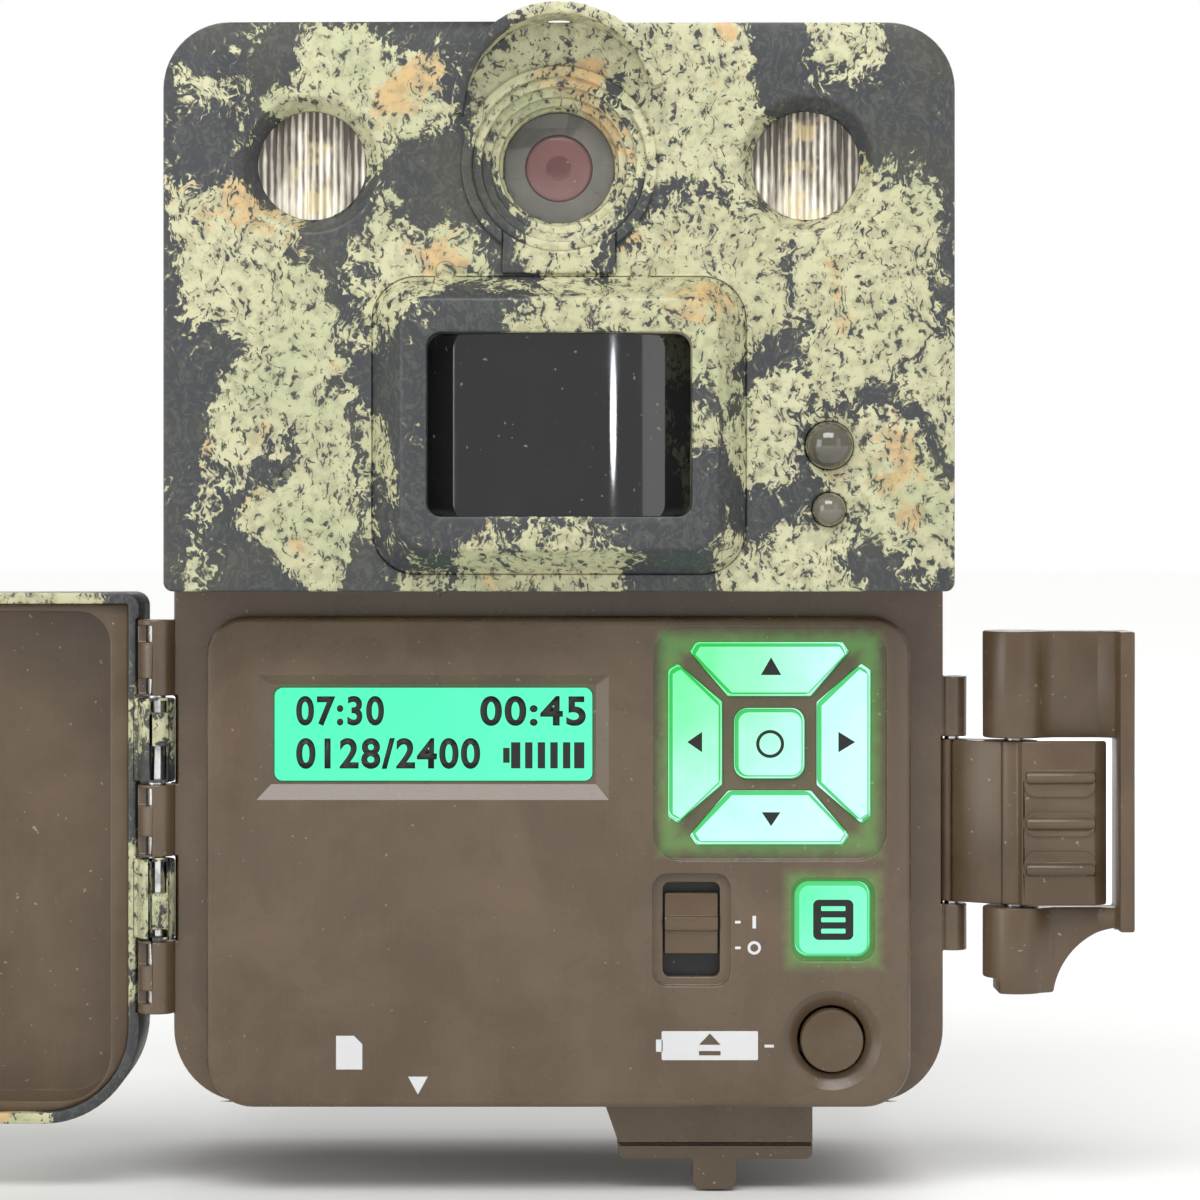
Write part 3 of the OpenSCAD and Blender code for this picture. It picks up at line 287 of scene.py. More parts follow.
cells = add(bark, "TexVoronoi", [("Vector", squeezed), ("Scale", g_in.outputs["Plate Scale"])],
            feature="DISTANCE_TO_EDGE").outputs["Distance"]
tone = add(bark, "TexVoronoi", [("Vector", squeezed),
                                ("Scale", g_in.outputs["Plate Scale"])]).outputs["Color"]
tone = add(bark, "SeparateColor", [("Color", tone)])
patches = noise(bark, place, 42, 3, 0.55, 0.6)
upright = add(bark, "Mapping", [("Vector", warped), ("Rotation", (0.0, math.radians(-24), 0.0)),
                                ("Scale", (1.0, 0.8, 0.42))]).outputs[0]
flecks = noise(bark, upright, g_in.outputs["Fleck Scale"], 2, 0.55, 0.3)
crumbs = noise(bark, place, maths(bark, "MULTIPLY", g_in.outputs["Fleck Scale"], 0.42), 3, 0.6)
level = maths(bark, "ADD", maths(bark, "MULTIPLY", cells, 1.5),
              maths(bark, "MULTIPLY", maths(bark, "SUBTRACT", patches, g_in.outputs["Openness"]), 1.5))
level = maths(bark, "ADD", level, swing(bark, tone.outputs["Red"], 0.16))
rise = smooth_step(bark, level, 0.02, 0.36, -0.24, 0.075)
grit = maths(bark, "ADD", maths(bark, "MULTIPLY", flecks, 0.75), maths(bark, "MULTIPLY", crumbs, 0.45))
grit = maths(bark, "ADD", maths(bark, "SUBTRACT", grit, 0.1), rise)
lichen = smooth_step(bark, noise(bark, place, 75, 3, 0.6), 0.46, 0.66)
elsewhere = add(bark, "Mapping", [("Vector", warped), ("Location", (0.31, 0.2, 0.4))]).outputs[0]
rust = smooth_step(bark, noise(bark, elsewhere, 95, 3, 0.65), 0.60, 0.68)
pale = blend(bark, tone.outputs["Green"], rgb(196, 194, 158), rgb(180, 178, 140))
pale = blend(bark, maths(bark, "MULTIPLY", lichen, 0.45), pale, rgb(158, 170, 128))
pale = blend(bark, maths(bark, "MULTIPLY", rust, 0.75), pale, rgb(201, 160, 104))
pale = blend(bark, maths(bark, "MULTIPLY", smooth_step(bark, crumbs, 0.40, 0.62, 1, 0), 0.42), pale,
             rgb(128, 126, 98))
dark = blend(bark, lichen, rgb(46, 49, 53), rgb(58, 59, 52))
dark = blend(bark, maths(bark, "MULTIPLY", smooth_step(bark, flecks, 0.45, 0.62), 0.5), dark, rgb(82, 84, 76))
film = blend(bark, smooth_step(bark, grit, 0.44, 0.49), dark, rgb(112, 111, 88))
film = blend(bark, smooth_step(bark, grit, 0.49, 0.53), film, pale)
bark.links.new(film, g_out.inputs["Colour"])
bark.links.new(maths(bark, "ADD", 0.46, maths(bark, "MULTIPLY", flecks, 0.14)), g_out.inputs["Roughness"])
bark.links.new(noise(bark, place, 3800, 2, 0.6), g_out.inputs["Height"])
print("group", bark.name, "with", len(bark.nodes), "nodes")

# %% [markdown]
# ### Metal, glow and glass helpers
# Turned or pressed metal shows fine lines along one direction; a lit key is brighter in its middle and
# cooler on one side, where the lamp is; a window carries faint smears. Three more groups cover these.

# %% Groups: drawn metal, backlight, smear
drawn, g_in, g_out = group_of("drawn_metal", [
    ("Colour", "Color", (0.6, 0.6, 0.6, 1)), ("Shade", "Color", (0.3, 0.3, 0.3, 1)),
    ("Stretch", "Vector", (1.0, 1.0, 0.05)), ("Gloss", "Float", 0.25)],
    [("Colour", "Color"), ("Roughness", "Float"), ("Height", "Float")])
place = add(drawn, "TexCoord").outputs["Object"]
pulled = add(drawn, "VectorMath", [(0, place), (1, g_in.outputs["Stretch"])], operation="MULTIPLY").outputs[0]
lines = noise(drawn, pulled, 5200, 2, 0.6)
tarnish = noise(drawn, place, 420, 3, 0.6)
drawn.links.new(blend(drawn, smooth_step(drawn, tarnish, 0.42, 0.72), g_in.outputs["Colour"],
                      g_in.outputs["Shade"]), g_out.inputs["Colour"])
drawn.links.new(maths(drawn, "ADD", g_in.outputs["Gloss"], maths(drawn, "MULTIPLY", lines, 0.18)),
                g_out.inputs["Roughness"])
drawn.links.new(lines, g_out.inputs["Height"])

glow, g_in, g_out = group_of("backlight", [
    ("Near", "Color", (0.2, 1, 0.5, 1)), ("Far", "Color", (0.6, 1, 1, 1)), ("Lamp", "Vector", (0, 0, 0)),
    ("Reach", "Float", 0.008)],
    [("Colour", "Color")])
place = add(glow, "TexCoord").outputs["Object"]
away = add(glow, "VectorMath", [(0, place), (1, g_in.outputs["Lamp"])], operation="DISTANCE").outputs["Value"]
share = smooth_step(glow, maths(glow, "DIVIDE", away, g_in.outputs["Reach"]), 0.0, 1.0)
share = maths(glow, "ADD", share, swing(glow, noise(glow, place, 260, 2), 0.5), clamp=True)
glow.links.new(blend(glow, share, g_in.outputs["Near"], g_in.outputs["Far"]), g_out.inputs["Colour"])

smear, g_in, g_out = group_of("handled_glass", [("Gloss", "Float", 0.04)],
                              [("Roughness", "Float"), ("Height", "Float")])
place = add(smear, "TexCoord").outputs["Object"]
film = noise(smear, place, 180, 4, 0.65, 0.5)
smear.links.new(maths(smear, "ADD", g_in.outputs["Gloss"],
                      maths(smear, "MULTIPLY", smooth_step(smear, film, 0.5, 0.8), 0.1)),
                g_out.inputs["Roughness"])
smear.links.new(film, g_out.inputs["Height"])
print("groups", drawn.name, glow.name, smear.name)

# %% [markdown]
# ## The finishes
# Each finish of the record gets one material. The ones made of the same stuff share a recipe: brown
# case plastic, dark internal plastic and rubber are all moulded grain with their own colour and gloss.

# %% Recipes for the materials
def new_material(name):
    """An empty Principled material, and its tree and shader."""
    m = bpy.data.materials.new(name)
    m.use_nodes = True
    return m, m.node_tree, m.node_tree.nodes["Principled BSDF"]


def wire(tree, shader, group, values, strength, distance=0.0001):
    """Puts a shader group in a material and joins its outputs to the shader, height through a bump."""
    node = tree.nodes.new("ShaderNodeGroup")
    node.node_tree = group
    for key, value in values.items():
        node.inputs[key].default_value = value
    if "Colour" in node.outputs:
        tree.links.new(node.outputs["Colour"], shader.inputs["Base Color"])
    tree.links.new(node.outputs["Roughness"], shader.inputs["Roughness"])
    bump = add(tree, "Bump", [("Height", node.outputs["Height"]), ("Strength", strength),
                              ("Distance", distance)])
    tree.links.new(bump.outputs["Normal"], shader.inputs["Normal"])
    return node


def moulding(name, colour, worn, gloss=0.4, clouds=0.25, dust=0.5, grain=4200.0, strength=0.12, coat=0.0):
    """A moulded plastic or rubber."""
    m, tree, shader = new_material(name)
    wire(tree, shader, moulded, {"Colour": colour, "Worn Colour": worn, "Gloss": gloss, "Clouds": clouds,
                                 "Dust": dust, "Grain Scale": grain}, strength)
    shader.inputs["Coat Weight"].default_value = coat
    shader.inputs["Coat Roughness"].default_value = 0.25
    return m


def metal(name, colour, shade, gloss=0.2, stretch=(1.0, 1.0, 0.05), strength=0.05):
    """A metal with fine drawn lines."""
    m, tree, shader = new_material(name)
    wire(tree, shader, drawn, {"Colour": colour, "Shade": shade, "Gloss": gloss, "Stretch": stretch},
         strength)
    shader.inputs["Metallic"].default_value = 1.0
    return m


def window(name, tint, gloss=0.03, ior=1.46):
    """A clear or tinted moulded window."""
    m, tree, shader = new_material(name)
    wire(tree, shader, smear, {"Gloss": gloss}, 0.02)
    shader.inputs["Base Color"].default_value = tint
    shader.inputs["Transmission Weight"].default_value = 1.0
    shader.inputs["IOR"].default_value = ior
    return m


def see_through(name, tint, alpha, gloss=0.06):
    """A thin clear or smoked cover: partly transparent, so the light outside still reaches what is behind."""
    m, tree, shader = new_material(name)
    wire(tree, shader, smear, {"Gloss": gloss}, 0.02)
    shader.inputs["Base Color"].default_value = tint
    shader.inputs["Alpha"].default_value = alpha
    shader.inputs["Coat Weight"].default_value = 1.0
    return m


def lit(name, near, far, lamp, reach, strength=1.0, gloss=0.35):
    """A translucent piece lit from behind."""
    m, tree, shader = new_material(name)
    node = tree.nodes.new("ShaderNodeGroup")
    node.node_tree = glow
    for key, value in (("Near", near), ("Far", far), ("Lamp", tuple(lamp)), ("Reach", reach)):
        node.inputs[key].default_value = value
    tree.links.new(node.outputs["Colour"], shader.inputs["Emission Color"])
    shader.inputs["Emission Strength"].default_value = strength
    shader.inputs["Base Color"].default_value = rgb(40, 90, 60)
    shader.inputs["Roughness"].default_value = gloss
    return m


brown = moulding("case_brown", rgb(80, 64, 47), rgb(106, 88, 68), gloss=0.33, clouds=0.55, dust=0.5)
finishes = {
    "brown_plastic": brown,
    "rear_plastic": moulding("case_rear_textured", rgb(66, 54, 41), rgb(92, 77, 60), gloss=0.5, clouds=0.5,
                             grain=2300.0, strength=0.5),
    "cover_rubber": moulding("jack_cover_rubber", rgb(86, 73, 58), rgb(106, 91, 75), gloss=0.5, dust=0.7),
    "black_rubber": moulding("seal_rubber", rgb(22, 22, 22), rgb(44, 44, 43), gloss=0.6, dust=0.8),
    "dark_plastic": moulding("inner_black_plastic", rgb(24, 24, 25), rgb(46, 46, 46), gloss=0.42),
    "grey_mask": moulding("lens_grey_ring", rgb(116, 114, 108), rgb(140, 138, 130), gloss=0.55, clouds=0.8,
                          dust=0.3,
                          grain=6000.0),
    "acetal": moulding("catch_white_resin", rgb(214, 211, 201), rgb(232, 230, 222), gloss=0.4),
    "cell_wrap": moulding("cell_sleeve", rgb(30, 52, 74), rgb(58, 84, 104), gloss=0.25, strength=0.04,
                          coat=0.6),
    "card_plastic": moulding("card_shell", rgb(26, 34, 58), rgb(44, 54, 84), gloss=0.35),
    "chip": moulding("chip_resin", rgb(26, 26, 28), rgb(52, 52, 55), gloss=0.55, grain=9000.0),
    "silicone": moulding("keypad_silicone", rgb(176, 190, 176), rgb(206, 216, 205), gloss=0.5),
    "flex": moulding("flex_film", rgb(166, 112, 40), rgb(205, 150, 70), gloss=0.22, strength=0.05, coat=0.5),
    "circuit_board": moulding("board_resist", rgb(14, 66, 38), rgb(34, 104, 60), gloss=0.3, grain=1800.0,
                              strength=0.25, coat=0.5),
    "steel": metal("bright_steel", rgb(206, 206, 205), rgb(150, 150, 150), gloss=0.12),
    "brass": metal("insert_brass", rgb(196, 160, 92), rgb(140, 104, 50), gloss=0.2),
    "nickel": metal("nickel_plate", rgb(200, 198, 190), rgb(150, 148, 140), gloss=0.16),
    "reflector": metal("vapour_chrome", rgb(250, 249, 246), rgb(226, 222, 214), gloss=0.22, strength=0.02),
    "clear_glass": see_through("flash_clear", rgb(226, 226, 222), 0.36),
    "lens_glass": see_through("lens_clear", rgb(120, 118, 116), 0.1, 0.02),
    "red_glass": window("lens_red", rgb(214, 120, 120), gloss=0.03),
    "smoked_dome": see_through("lamp_smoked", rgb(86, 82, 70), 0.9, 0.1),
    "clear_dome": see_through("sensor_clear", rgb(112, 108, 94), 0.85, 0.12),
}
print("finishes so far:", len(finishes))

# %% [markdown]
# ### Camouflage, black window, flash prisms and everything that is lit
# The dipped film gets a satin lacquer. The movement sensor's window is a glossy black moulding. The
# display and the keys are lit from behind, so they glow rather than reflect: the keys by a lamp at the
# upper left, which leaves them green there and nearly white at the other side. Their light would spill
# into the recess; instead the panel's own material paints a green glow there by distance, painted light
# that a real lamp inside would give. The flash covers get painted light too: upright bright streaks and
# glints, warm in the middle and darker towards the top, are painted into their colour. The studio paper
# gets a painted glow that grows with distance, so that it fades to white.

# %% The remaining finishes
camo, tree, shader = new_material("bark_film")
wire(tree, shader, bark, {}, 0.1)
shader.inputs["Coat Weight"].default_value = 0.25
shader.inputs["Coat Roughness"].default_value = 0.35
finishes["camo_plastic"] = camo

paper = moulding("floor_paper", rgb(236, 236, 234), rgb(242, 242, 241), gloss=0.7, dust=0.0, strength=0.02)
tree = paper.node_tree
# Painted light: the paper glows more with distance from the part's base, so the far floor reads white while
# shadows near the part stay.
place = add(tree, "TexCoord").outputs["Object"]
away = add(tree, "VectorMath", [(0, place), (1, (0, 0, BASE))], operation="DISTANCE").outputs["Value"]
painted_floor_glow = blend(tree, smooth_step(tree, away, 0.12, 0.75), (0, 0, 0, 1), (0.5, 0.5, 0.5, 1))
tree.links.new(painted_floor_glow, tree.nodes["Principled BSDF"].inputs["Emission Color"])
tree.nodes["Principled BSDF"].inputs["Emission Strength"].default_value = 1.0
bpy.ops.object.select_all(action="DESELECT")
floor.select_set(True)
bpy.context.view_layer.objects.active = floor
bpy.ops.object.transform_apply(location=True, rotation=True, scale=True)
floor.data.materials.append(paper)

PRISM_PITCH = 0.00074  # metres from one upright prism to the next
# Painted light: the flash covers' bright streaks, glints and warm glow are painted into their colour,
# brighter in upright bands one prism apart and towards the middle, darker towards the top.
prism_glint_paint, g_in, g_out = group_of("prism_painted_glints", [("Centre", "Vector", (0, 0, 0)),
                                                 ("Pitch", "Float", PRISM_PITCH)],
                               [("Colour", "Color"), ("Roughness", "Float"), ("Height", "Float")])
place = add(prism_glint_paint, "TexCoord").outputs["Object"]
inside = add(prism_glint_paint, "VectorMath", [(0, place), (1, g_in.outputs["Centre"])], operation="SUBTRACT")
inside = add(prism_glint_paint, "SeparateXYZ", [("Vector", inside.outputs[0])])
tall = add(prism_glint_paint, "Mapping", [("Vector", place), ("Scale", (1.0, 1.0, 0.22))]).outputs[0]
wobble = noise(prism_glint_paint, tall, 900, 2, 0.6)
turn = maths(prism_glint_paint, "DIVIDE", inside.outputs["X"], g_in.outputs["Pitch"])
wave = maths(prism_glint_paint, "SINE", maths(prism_glint_paint, "MULTIPLY", turn, 2 * math.pi))
wave = maths(prism_glint_paint, "ADD", maths(prism_glint_paint, "MULTIPLY", wave, 0.3), maths(prism_glint_paint, "MULTIPLY", wobble, 1.5))
up = maths(prism_glint_paint, "MULTIPLY", inside.outputs["Z"], 55.0)
middle = maths(prism_glint_paint, "MULTIPLY", maths(prism_glint_paint, "ABSOLUTE", inside.outputs["X"]), 60.0)
bright = maths(prism_glint_paint, "SUBTRACT", maths(prism_glint_paint, "SUBTRACT", wave, up), middle)
# Painted highlight: dark grey where the painted brightness is low, pale and then near white at its peaks.
painted_streak_colour = blend(prism_glint_paint, smooth_step(prism_glint_paint, bright, 0.28, 0.86), rgb(84, 78, 70), rgb(206, 198, 184))
painted_streak_colour = blend(prism_glint_paint, smooth_step(prism_glint_paint, bright, 0.80, 1.05), painted_streak_colour, rgb(255, 252, 238))
# Painted warm glow of the flash lamp, only near the middle of each cover.
warm = smooth_step(prism_glint_paint, noise(prism_glint_paint, place, 420, 2), 0.45, 0.62)
warm = maths(prism_glint_paint, "MULTIPLY", warm, smooth_step(prism_glint_paint, middle, 0.04, 0.2, 0.45, 0.0))
prism_glint_paint.links.new(blend(prism_glint_paint, warm, painted_streak_colour, rgb(246, 226, 168)), g_out.inputs["Colour"])
prism_glint_paint.links.new(maths(prism_glint_paint, "MULTIPLY", wobble, 0.2), g_out.inputs["Roughness"])
prism_glint_paint.links.new(wobble, g_out.inputs["Height"])
ribbed = {}
# Each flash cover's material carries these painted streaks and glints.
for side in ("left", "right"):
    ribbed[side], tree, shader = new_material("flash_painted_glints_" + side)
    low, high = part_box("flash_window_" + side)
    node = wire(tree, shader, prism_glint_paint, {"Centre": tuple((low + high) / 2)}, 0.3)
    shader.inputs["Coat Weight"].default_value = 1.0
    shader.inputs["Alpha"].default_value = 0.93
finishes["black_window"] = moulding("sensor_black", rgb(10, 11, 11), rgb(24, 24, 23), gloss=0.06, clouds=0.3,
                                    dust=0.35, strength=0.01, coat=1.0)
finishes["black_window"].node_tree.nodes["Principled BSDF"].inputs["Coat Roughness"].default_value = 0.03
finishes["led"] = moulding("flash_phosphor", rgb(244, 226, 160), rgb(252, 246, 214), gloss=0.5)
finishes["display"] = lit("display_green", rgb(62, 250, 182), rgb(82, 254, 194), at(-30, -15.4, 45),
                          0.04, 1.0, 0.2)
finishes["key_cap"] = lit("key_lit", rgb(112, 250, 160), rgb(206, 255, 255), at(12, -16, 47), 0.024, 1.05)
mode_lit = lit("mode_key_lit", rgb(98, 250, 176), rgb(128, 255, 205), at(26, -16, 23), 0.008, 1.0)
key_edge = lit("key_edge", rgb(62, 214, 92), rgb(96, 232, 140), at(12, -16, 47), 0.026, 0.75)
mark_black = moulding("print_black", rgb(8, 12, 10), rgb(26, 30, 28), gloss=0.5, strength=0.03)
mark_white = moulding("print_white", rgb(206, 206, 208), rgb(224, 224, 224), gloss=0.5, clouds=0.4,
                      strength=0.05)
lens_red = moulding("lens_coating", rgb(134, 84, 82), rgb(156, 108, 104), gloss=0.2, strength=0.01, coat=0.8)
lens_dark = moulding("lens_pupil", rgb(104, 44, 44), rgb(140, 82, 80), gloss=0.12, strength=0.01, coat=1.0)

# Painted light: a green glow painted round a key field as emission, strongest at the field's edge and fading
# with distance from it.
halo, g_in, g_out = group_of("key_halo", [("Centre", "Vector", (0, 0, 0)), ("Half", "Float", 0.01),
                                          ("Spread", "Float", 0.002)], [("Colour", "Color")])
place = add(halo, "TexCoord").outputs["Object"]
away = add(halo, "VectorMath", [(0, place), (1, g_in.outputs["Centre"])], operation="SUBTRACT").outputs[0]
away = add(halo, "VectorMath", [(0, away)], operation="ABSOLUTE").outputs[0]
away = add(halo, "SeparateXYZ", [("Vector", away)])
reach = maths(halo, "MAXIMUM", away.outputs["X"], away.outputs["Z"])
reach = maths(halo, "DIVIDE", maths(halo, "SUBTRACT", reach, g_in.outputs["Half"]), g_in.outputs["Spread"])
reach = maths(halo, "ADD", reach, swing(halo, noise(halo, place, 700, 2), 0.5))
edge = maths(halo, "MULTIPLY", smooth_step(halo, reach, 0.0, 1.0, 1.0, 0.0),
             smooth_step(halo, reach, -0.9, 0.0, 0.08, 1.0))
halo.links.new(blend(halo, edge, (0, 0, 0, 1), rgb(70, 190, 74)),
               g_out.inputs["Colour"])

panel_brown = moulding("panel_brown", rgb(82, 66, 49), rgb(110, 92, 72), gloss=0.27, clouds=0.5,
                       dust=0.35, coat=0.2)
tree = panel_brown.node_tree
painted_key_glow = []
# The panel paints the keys' green glow on itself, round the key cluster and round the mode key.
for centre, half in ((at(22.6, -15, 38.9), 0.0106), (at(29.35, -15, 20.1), 0.0038)):
    node = tree.nodes.new("ShaderNodeGroup")
    node.node_tree = halo
    node.inputs["Centre"].default_value = tuple(centre)
    node.inputs["Half"].default_value = half
    node.inputs["Spread"].default_value = 0.0021
    painted_key_glow.append(node.outputs["Colour"])
both = add(tree, "VectorMath", [(0, painted_key_glow[0]), (1, painted_key_glow[1])], operation="ADD").outputs[0]
tree.links.new(both, tree.nodes["Principled BSDF"].inputs["Emission Color"])
tree.nodes["Principled BSDF"].inputs["Emission Strength"].default_value = 0.34

slots_of = {}
for name, obj in nodes.items():
    for s in obj.material_slots:
        key = s.material.name.split(".")[0]
        slots_of.setdefault(name, key)
        s.material = finishes[key]
print("slots seen:", sorted(set(slots_of.values())))

# %% [markdown]
# ## Real edges on the mouldings
# Nothing moulded has a knife edge: tools are milled, and a sharp edge would chip. The frame's mouldings
# are exact but sharp, so each visible one is copied, its flat faces are joined up again, and its sharp
# edges get a small round with the bevel modifier. The copy stands for the original, which stays in
# place for the mechanics. A wider round would look like soap: a quarter of a millimetre is true, and half
# of that on the panel, whose small ledges round the keys have no room for more.

# %% Softened copies
def only(obj):
    """Selects one object and nothing else."""
    bpy.ops.object.select_all(action="DESELECT")
    obj.select_set(True)
    bpy.context.view_layer.objects.active = obj


def finished(obj, name, body, materials, slot, *replaced):
    """Names a piece, applies its place, dresses it and lets it ride on a body of the frame."""
    only(obj)
    bpy.ops.object.transform_apply(location=True, rotation=True, scale=True)
    obj.name = obj.data.name = name
    if materials is not None:
        obj.data.materials.clear()
        for m in materials:
            obj.data.materials.append(m)
    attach(obj, body)
    if replaced:
        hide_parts(*replaced)
    return obj


SAME_POINT = 0.000002  # metres between points that count as one
FLAT_ANGLE = 0.4  # degrees between faces that count as one flat


def copied(node):
    """A free copy of a node's mesh with its triangles joined into the flat faces they came from."""
    only(nodes[node])
    bpy.ops.object.duplicate()
    obj = bpy.context.object
    for key in [k for k in obj.keys() if k.startswith("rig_")]:
        del obj[key]
    obj.parent = None
    if "custom_normal" in obj.data.attributes:
        obj.data.attributes.remove(obj.data.attributes["custom_normal"])
    bpy.ops.object.mode_set(mode="EDIT")
    bpy.ops.mesh.select_all(action="SELECT")
    bpy.ops.mesh.remove_doubles(threshold=SAME_POINT)
    bpy.ops.mesh.dissolve_limited(angle_limit=math.radians(FLAT_ANGLE))
    bpy.ops.object.mode_set(mode="OBJECT")
    return obj


def cut(obj, cutter):
    """Cuts one object out of another and removes the cutter."""
    only(obj)
    m = obj.modifiers.new("cut", "BOOLEAN")
    m.operation, m.solver, m.object = "DIFFERENCE", "EXACT", cutter
    bpy.ops.object.modifier_apply(modifier=m.name)
    bpy.data.objects.remove(cutter)


def block(x0, x1, y0, y1, z0, z1):
    """A cutter in the shape of a box, in millimetres on the case."""
    bpy.ops.object.select_all(action="DESELECT")
    bpy.ops.mesh.primitive_cube_add(size=1, location=at((x0 + x1) / 2, (y0 + y1) / 2, (z0 + z1) / 2))
    bpy.context.object.scale = ((x1 - x0) * MM, (y1 - y0) * MM, (z1 - z0) * MM)
    bpy.ops.object.transform_apply(location=True, rotation=True, scale=True)
    return bpy.context.object


def soften(obj, width, segments=2, angle=40, smooth=32, miter="MITER_ARC"):
    """Rounds the sharp edges of a piece."""
    only(obj)
    if width:
        m = obj.modifiers.new("edges", "BEVEL")
        m.width, m.segments, m.limit_method = width * MM, segments, "ANGLE"
        m.angle_limit, m.use_clamp_overlap, m.harden_normals = math.radians(angle), False, False
        m.miter_outer = miter
        bpy.ops.object.modifier_apply(modifier=m.name)
    bpy.ops.object.shade_smooth_by_angle(angle=math.radians(smooth))


hinge_cuts = {
    "control_panel": (-45.5, -43.75, [(10.8, 12.2), (14.9, 17.4), (26.8, 28.8), (32.1, 34.0), (44.1, 45.8),
                                      (49.7, 51.5)]),
    "door_shell": (-43.9, -42.0, [(17.8, 18.8), (22.7, 26.3), (34.8, 38.5), (42.1, 43.5)])}

panel = copied("control_panel")
bpy.ops.object.select_all(action="DESELECT")
bpy.ops.mesh.primitive_cube_add(size=1, location=at(-13.5, -15.7, 39.5))
bevel_cut = bpy.context.object
bevel_cut.scale = (0.0384, 0.0010, 0.0140)
bpy.ops.object.transform_apply(location=True, rotation=True, scale=True)
for v in bevel_cut.data.vertices:
    if v.co.y > at(0, -15.7, 0).y:
        v.co.x = at(-13.4, 0, 0).x + (0.0174 if v.co.x > at(-13.4, 0, 0).x else -0.0174)
        v.co.z = at(0, 0, 39.9).z + (0.00535 if v.co.z > at(0, 0, 39.9).z else -0.00535)
cut(panel, bevel_cut)
x0, x1, spans = hinge_cuts["control_panel"]
for z0, z1 in spans:
    cut(panel, block(x0, x1, -16.0, -12.3, z0, z1))
only(panel)
island_front = min(v.co.y for v in panel.data.vertices)
outline_edges = set()
for f in panel.data.polygons:
    depths = [panel.data.vertices[i].co.y for i in f.vertices]
    if abs(f.normal.y) < 0.5 and max(depths) - min(depths) > 0.0025:
        outline_edges.update(f.edge_keys)
bpy.ops.object.mode_set(mode="EDIT")
bpy.ops.mesh.select_mode(type="EDGE")
bpy.ops.mesh.select_all(action="DESELECT")
bpy.ops.object.mode_set(mode="OBJECT")
for e in panel.data.edges:
    e.select = e.key in outline_edges and all(
        abs(panel.data.vertices[i].co.y - island_front) < 0.00002 for i in e.vertices)
print("island edges:", sum(e.select for e in panel.data.edges))
bpy.ops.object.mode_set(mode="EDIT")
bpy.ops.mesh.bevel(offset=0.0007, segments=4, clamp_overlap=False)
bpy.ops.object.mode_set(mode="OBJECT")
soften(panel, 0.13, 2, 40, 13, "MITER_SHARP")
finished(panel, "control_panel_moulding", "root", [panel_brown], "brown_plastic", "control_panel")

shell = copied("door_shell")
x0, x1, spans = hinge_cuts["door_shell"]
for z0, z1 in spans:
    cut(shell, block(x0, x1, -16.0, -12.3, z0, z1))
soften(shell, 0.22)
finished(shell, "door_shell_moulding", "door", [camo], "camo_plastic", "door_shell")

LINER_SET_BACK = 0.00006
for node, width, body in (
        ("front_housing", 0.3, "root"), ("rear_housing", 0.3, "root"), ("door_liner", 0.25, "door"),
        ("latch_lever", 0.25, "lever"), ("latch_hook", 0.25, "hook"), ("jack_cover", 0.25, "cover"),
        ("eject_button", 0.3, "eject"), ("power_switch_knob", 0.2, "switch_knob"),
        ("battery_tray", 0.2, "tray"), ("sd_card", 0.15, "card")):
    moulded_piece = copied(node)
    if node == "door_liner":
        for v in moulded_piece.data.vertices:
            if abs(v.co.z - BASE) < 0.00001:  # its lower wall would rub on the panel's foot when shut
                v.co.z -= LINER_SET_BACK
    soften(moulded_piece, width)
    finished(moulded_piece, node + "_moulding", body, [finishes[slots_of[node]]], slots_of[node], node)
    print(node, len(nodes[node].data.polygons), "->", len(moulded_piece.data.polygons), "faces")

# %% [markdown]
# ## The button's spring
# A small coil pushes the eject button out again, and is squeezed as the button goes in. Its copy is
# finished as it stands. It is out of sight, but it must not poke through the button.

# %% Spring
spring = copied("eject_spring")
soften(spring, 0)
finished(spring, "eject_spring_coil", "root", [finishes["steel"]], "steel", "eject_spring")
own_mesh(spring)
print("spring from", round(front_of("eject_spring"), 2), "to -9.2")

# %% [markdown]
# ## Lit keys
# The five navigation keys and the mode key are silicone caps under a clear skin. Each is softened like
# the case, and the faces that don't look at the camera get a dimmer, deeper green copy of the glow:
# painted shade on the keys' sides.

# %% Key caps
for name, mats in (("up", "key_cap"), ("down", "key_cap"), ("left", "key_cap"), ("right", "key_cap"),
                   ("ok", "key_cap"), ("mode", None)):
    cap = copied("key_" + name)
    soften(cap, 0.3, 3)
    front = finishes["key_cap"] if mats else mode_lit
    finished(cap, "key_" + name + "_cap", name + "_key", [front, key_edge], "key_cap", "key_" + name)
    # Painted shade: faces that don't face the camera take the dimmer, deeper green copy of the glow.
    for face in cap.data.polygons:
        face.material_index = 0 if face.normal.y < -0.75 else 1
print("six keys finished")

# %% [markdown]
# ## Printed marks
# The marks are pad printed: thin flat shapes with crisp corners. Letters would tie the part to one
# language and one maker, so each word becomes a generic sign: a ring for the middle key, lines for the
# menu, a stroke and a ring for on and off, an arrow over a bar for eject, and a card for the card slot.

# %% Marks
def thicken(thick, centre, turn=0.0):
    """Turns the flat shape being edited, gives it its thickness, closes it and leaves edit mode."""
    if turn:
        bpy.ops.transform.rotate(value=math.radians(turn), orient_axis="Y", center_override=tuple(centre))
    bpy.ops.mesh.extrude_region_move(TRANSFORM_OT_translate={"value": (0, thick * MM, 0)})
    bpy.ops.mesh.select_all(action="SELECT")
    bpy.ops.mesh.normals_make_consistent(inside=False)
    bpy.ops.object.mode_set(mode="OBJECT")


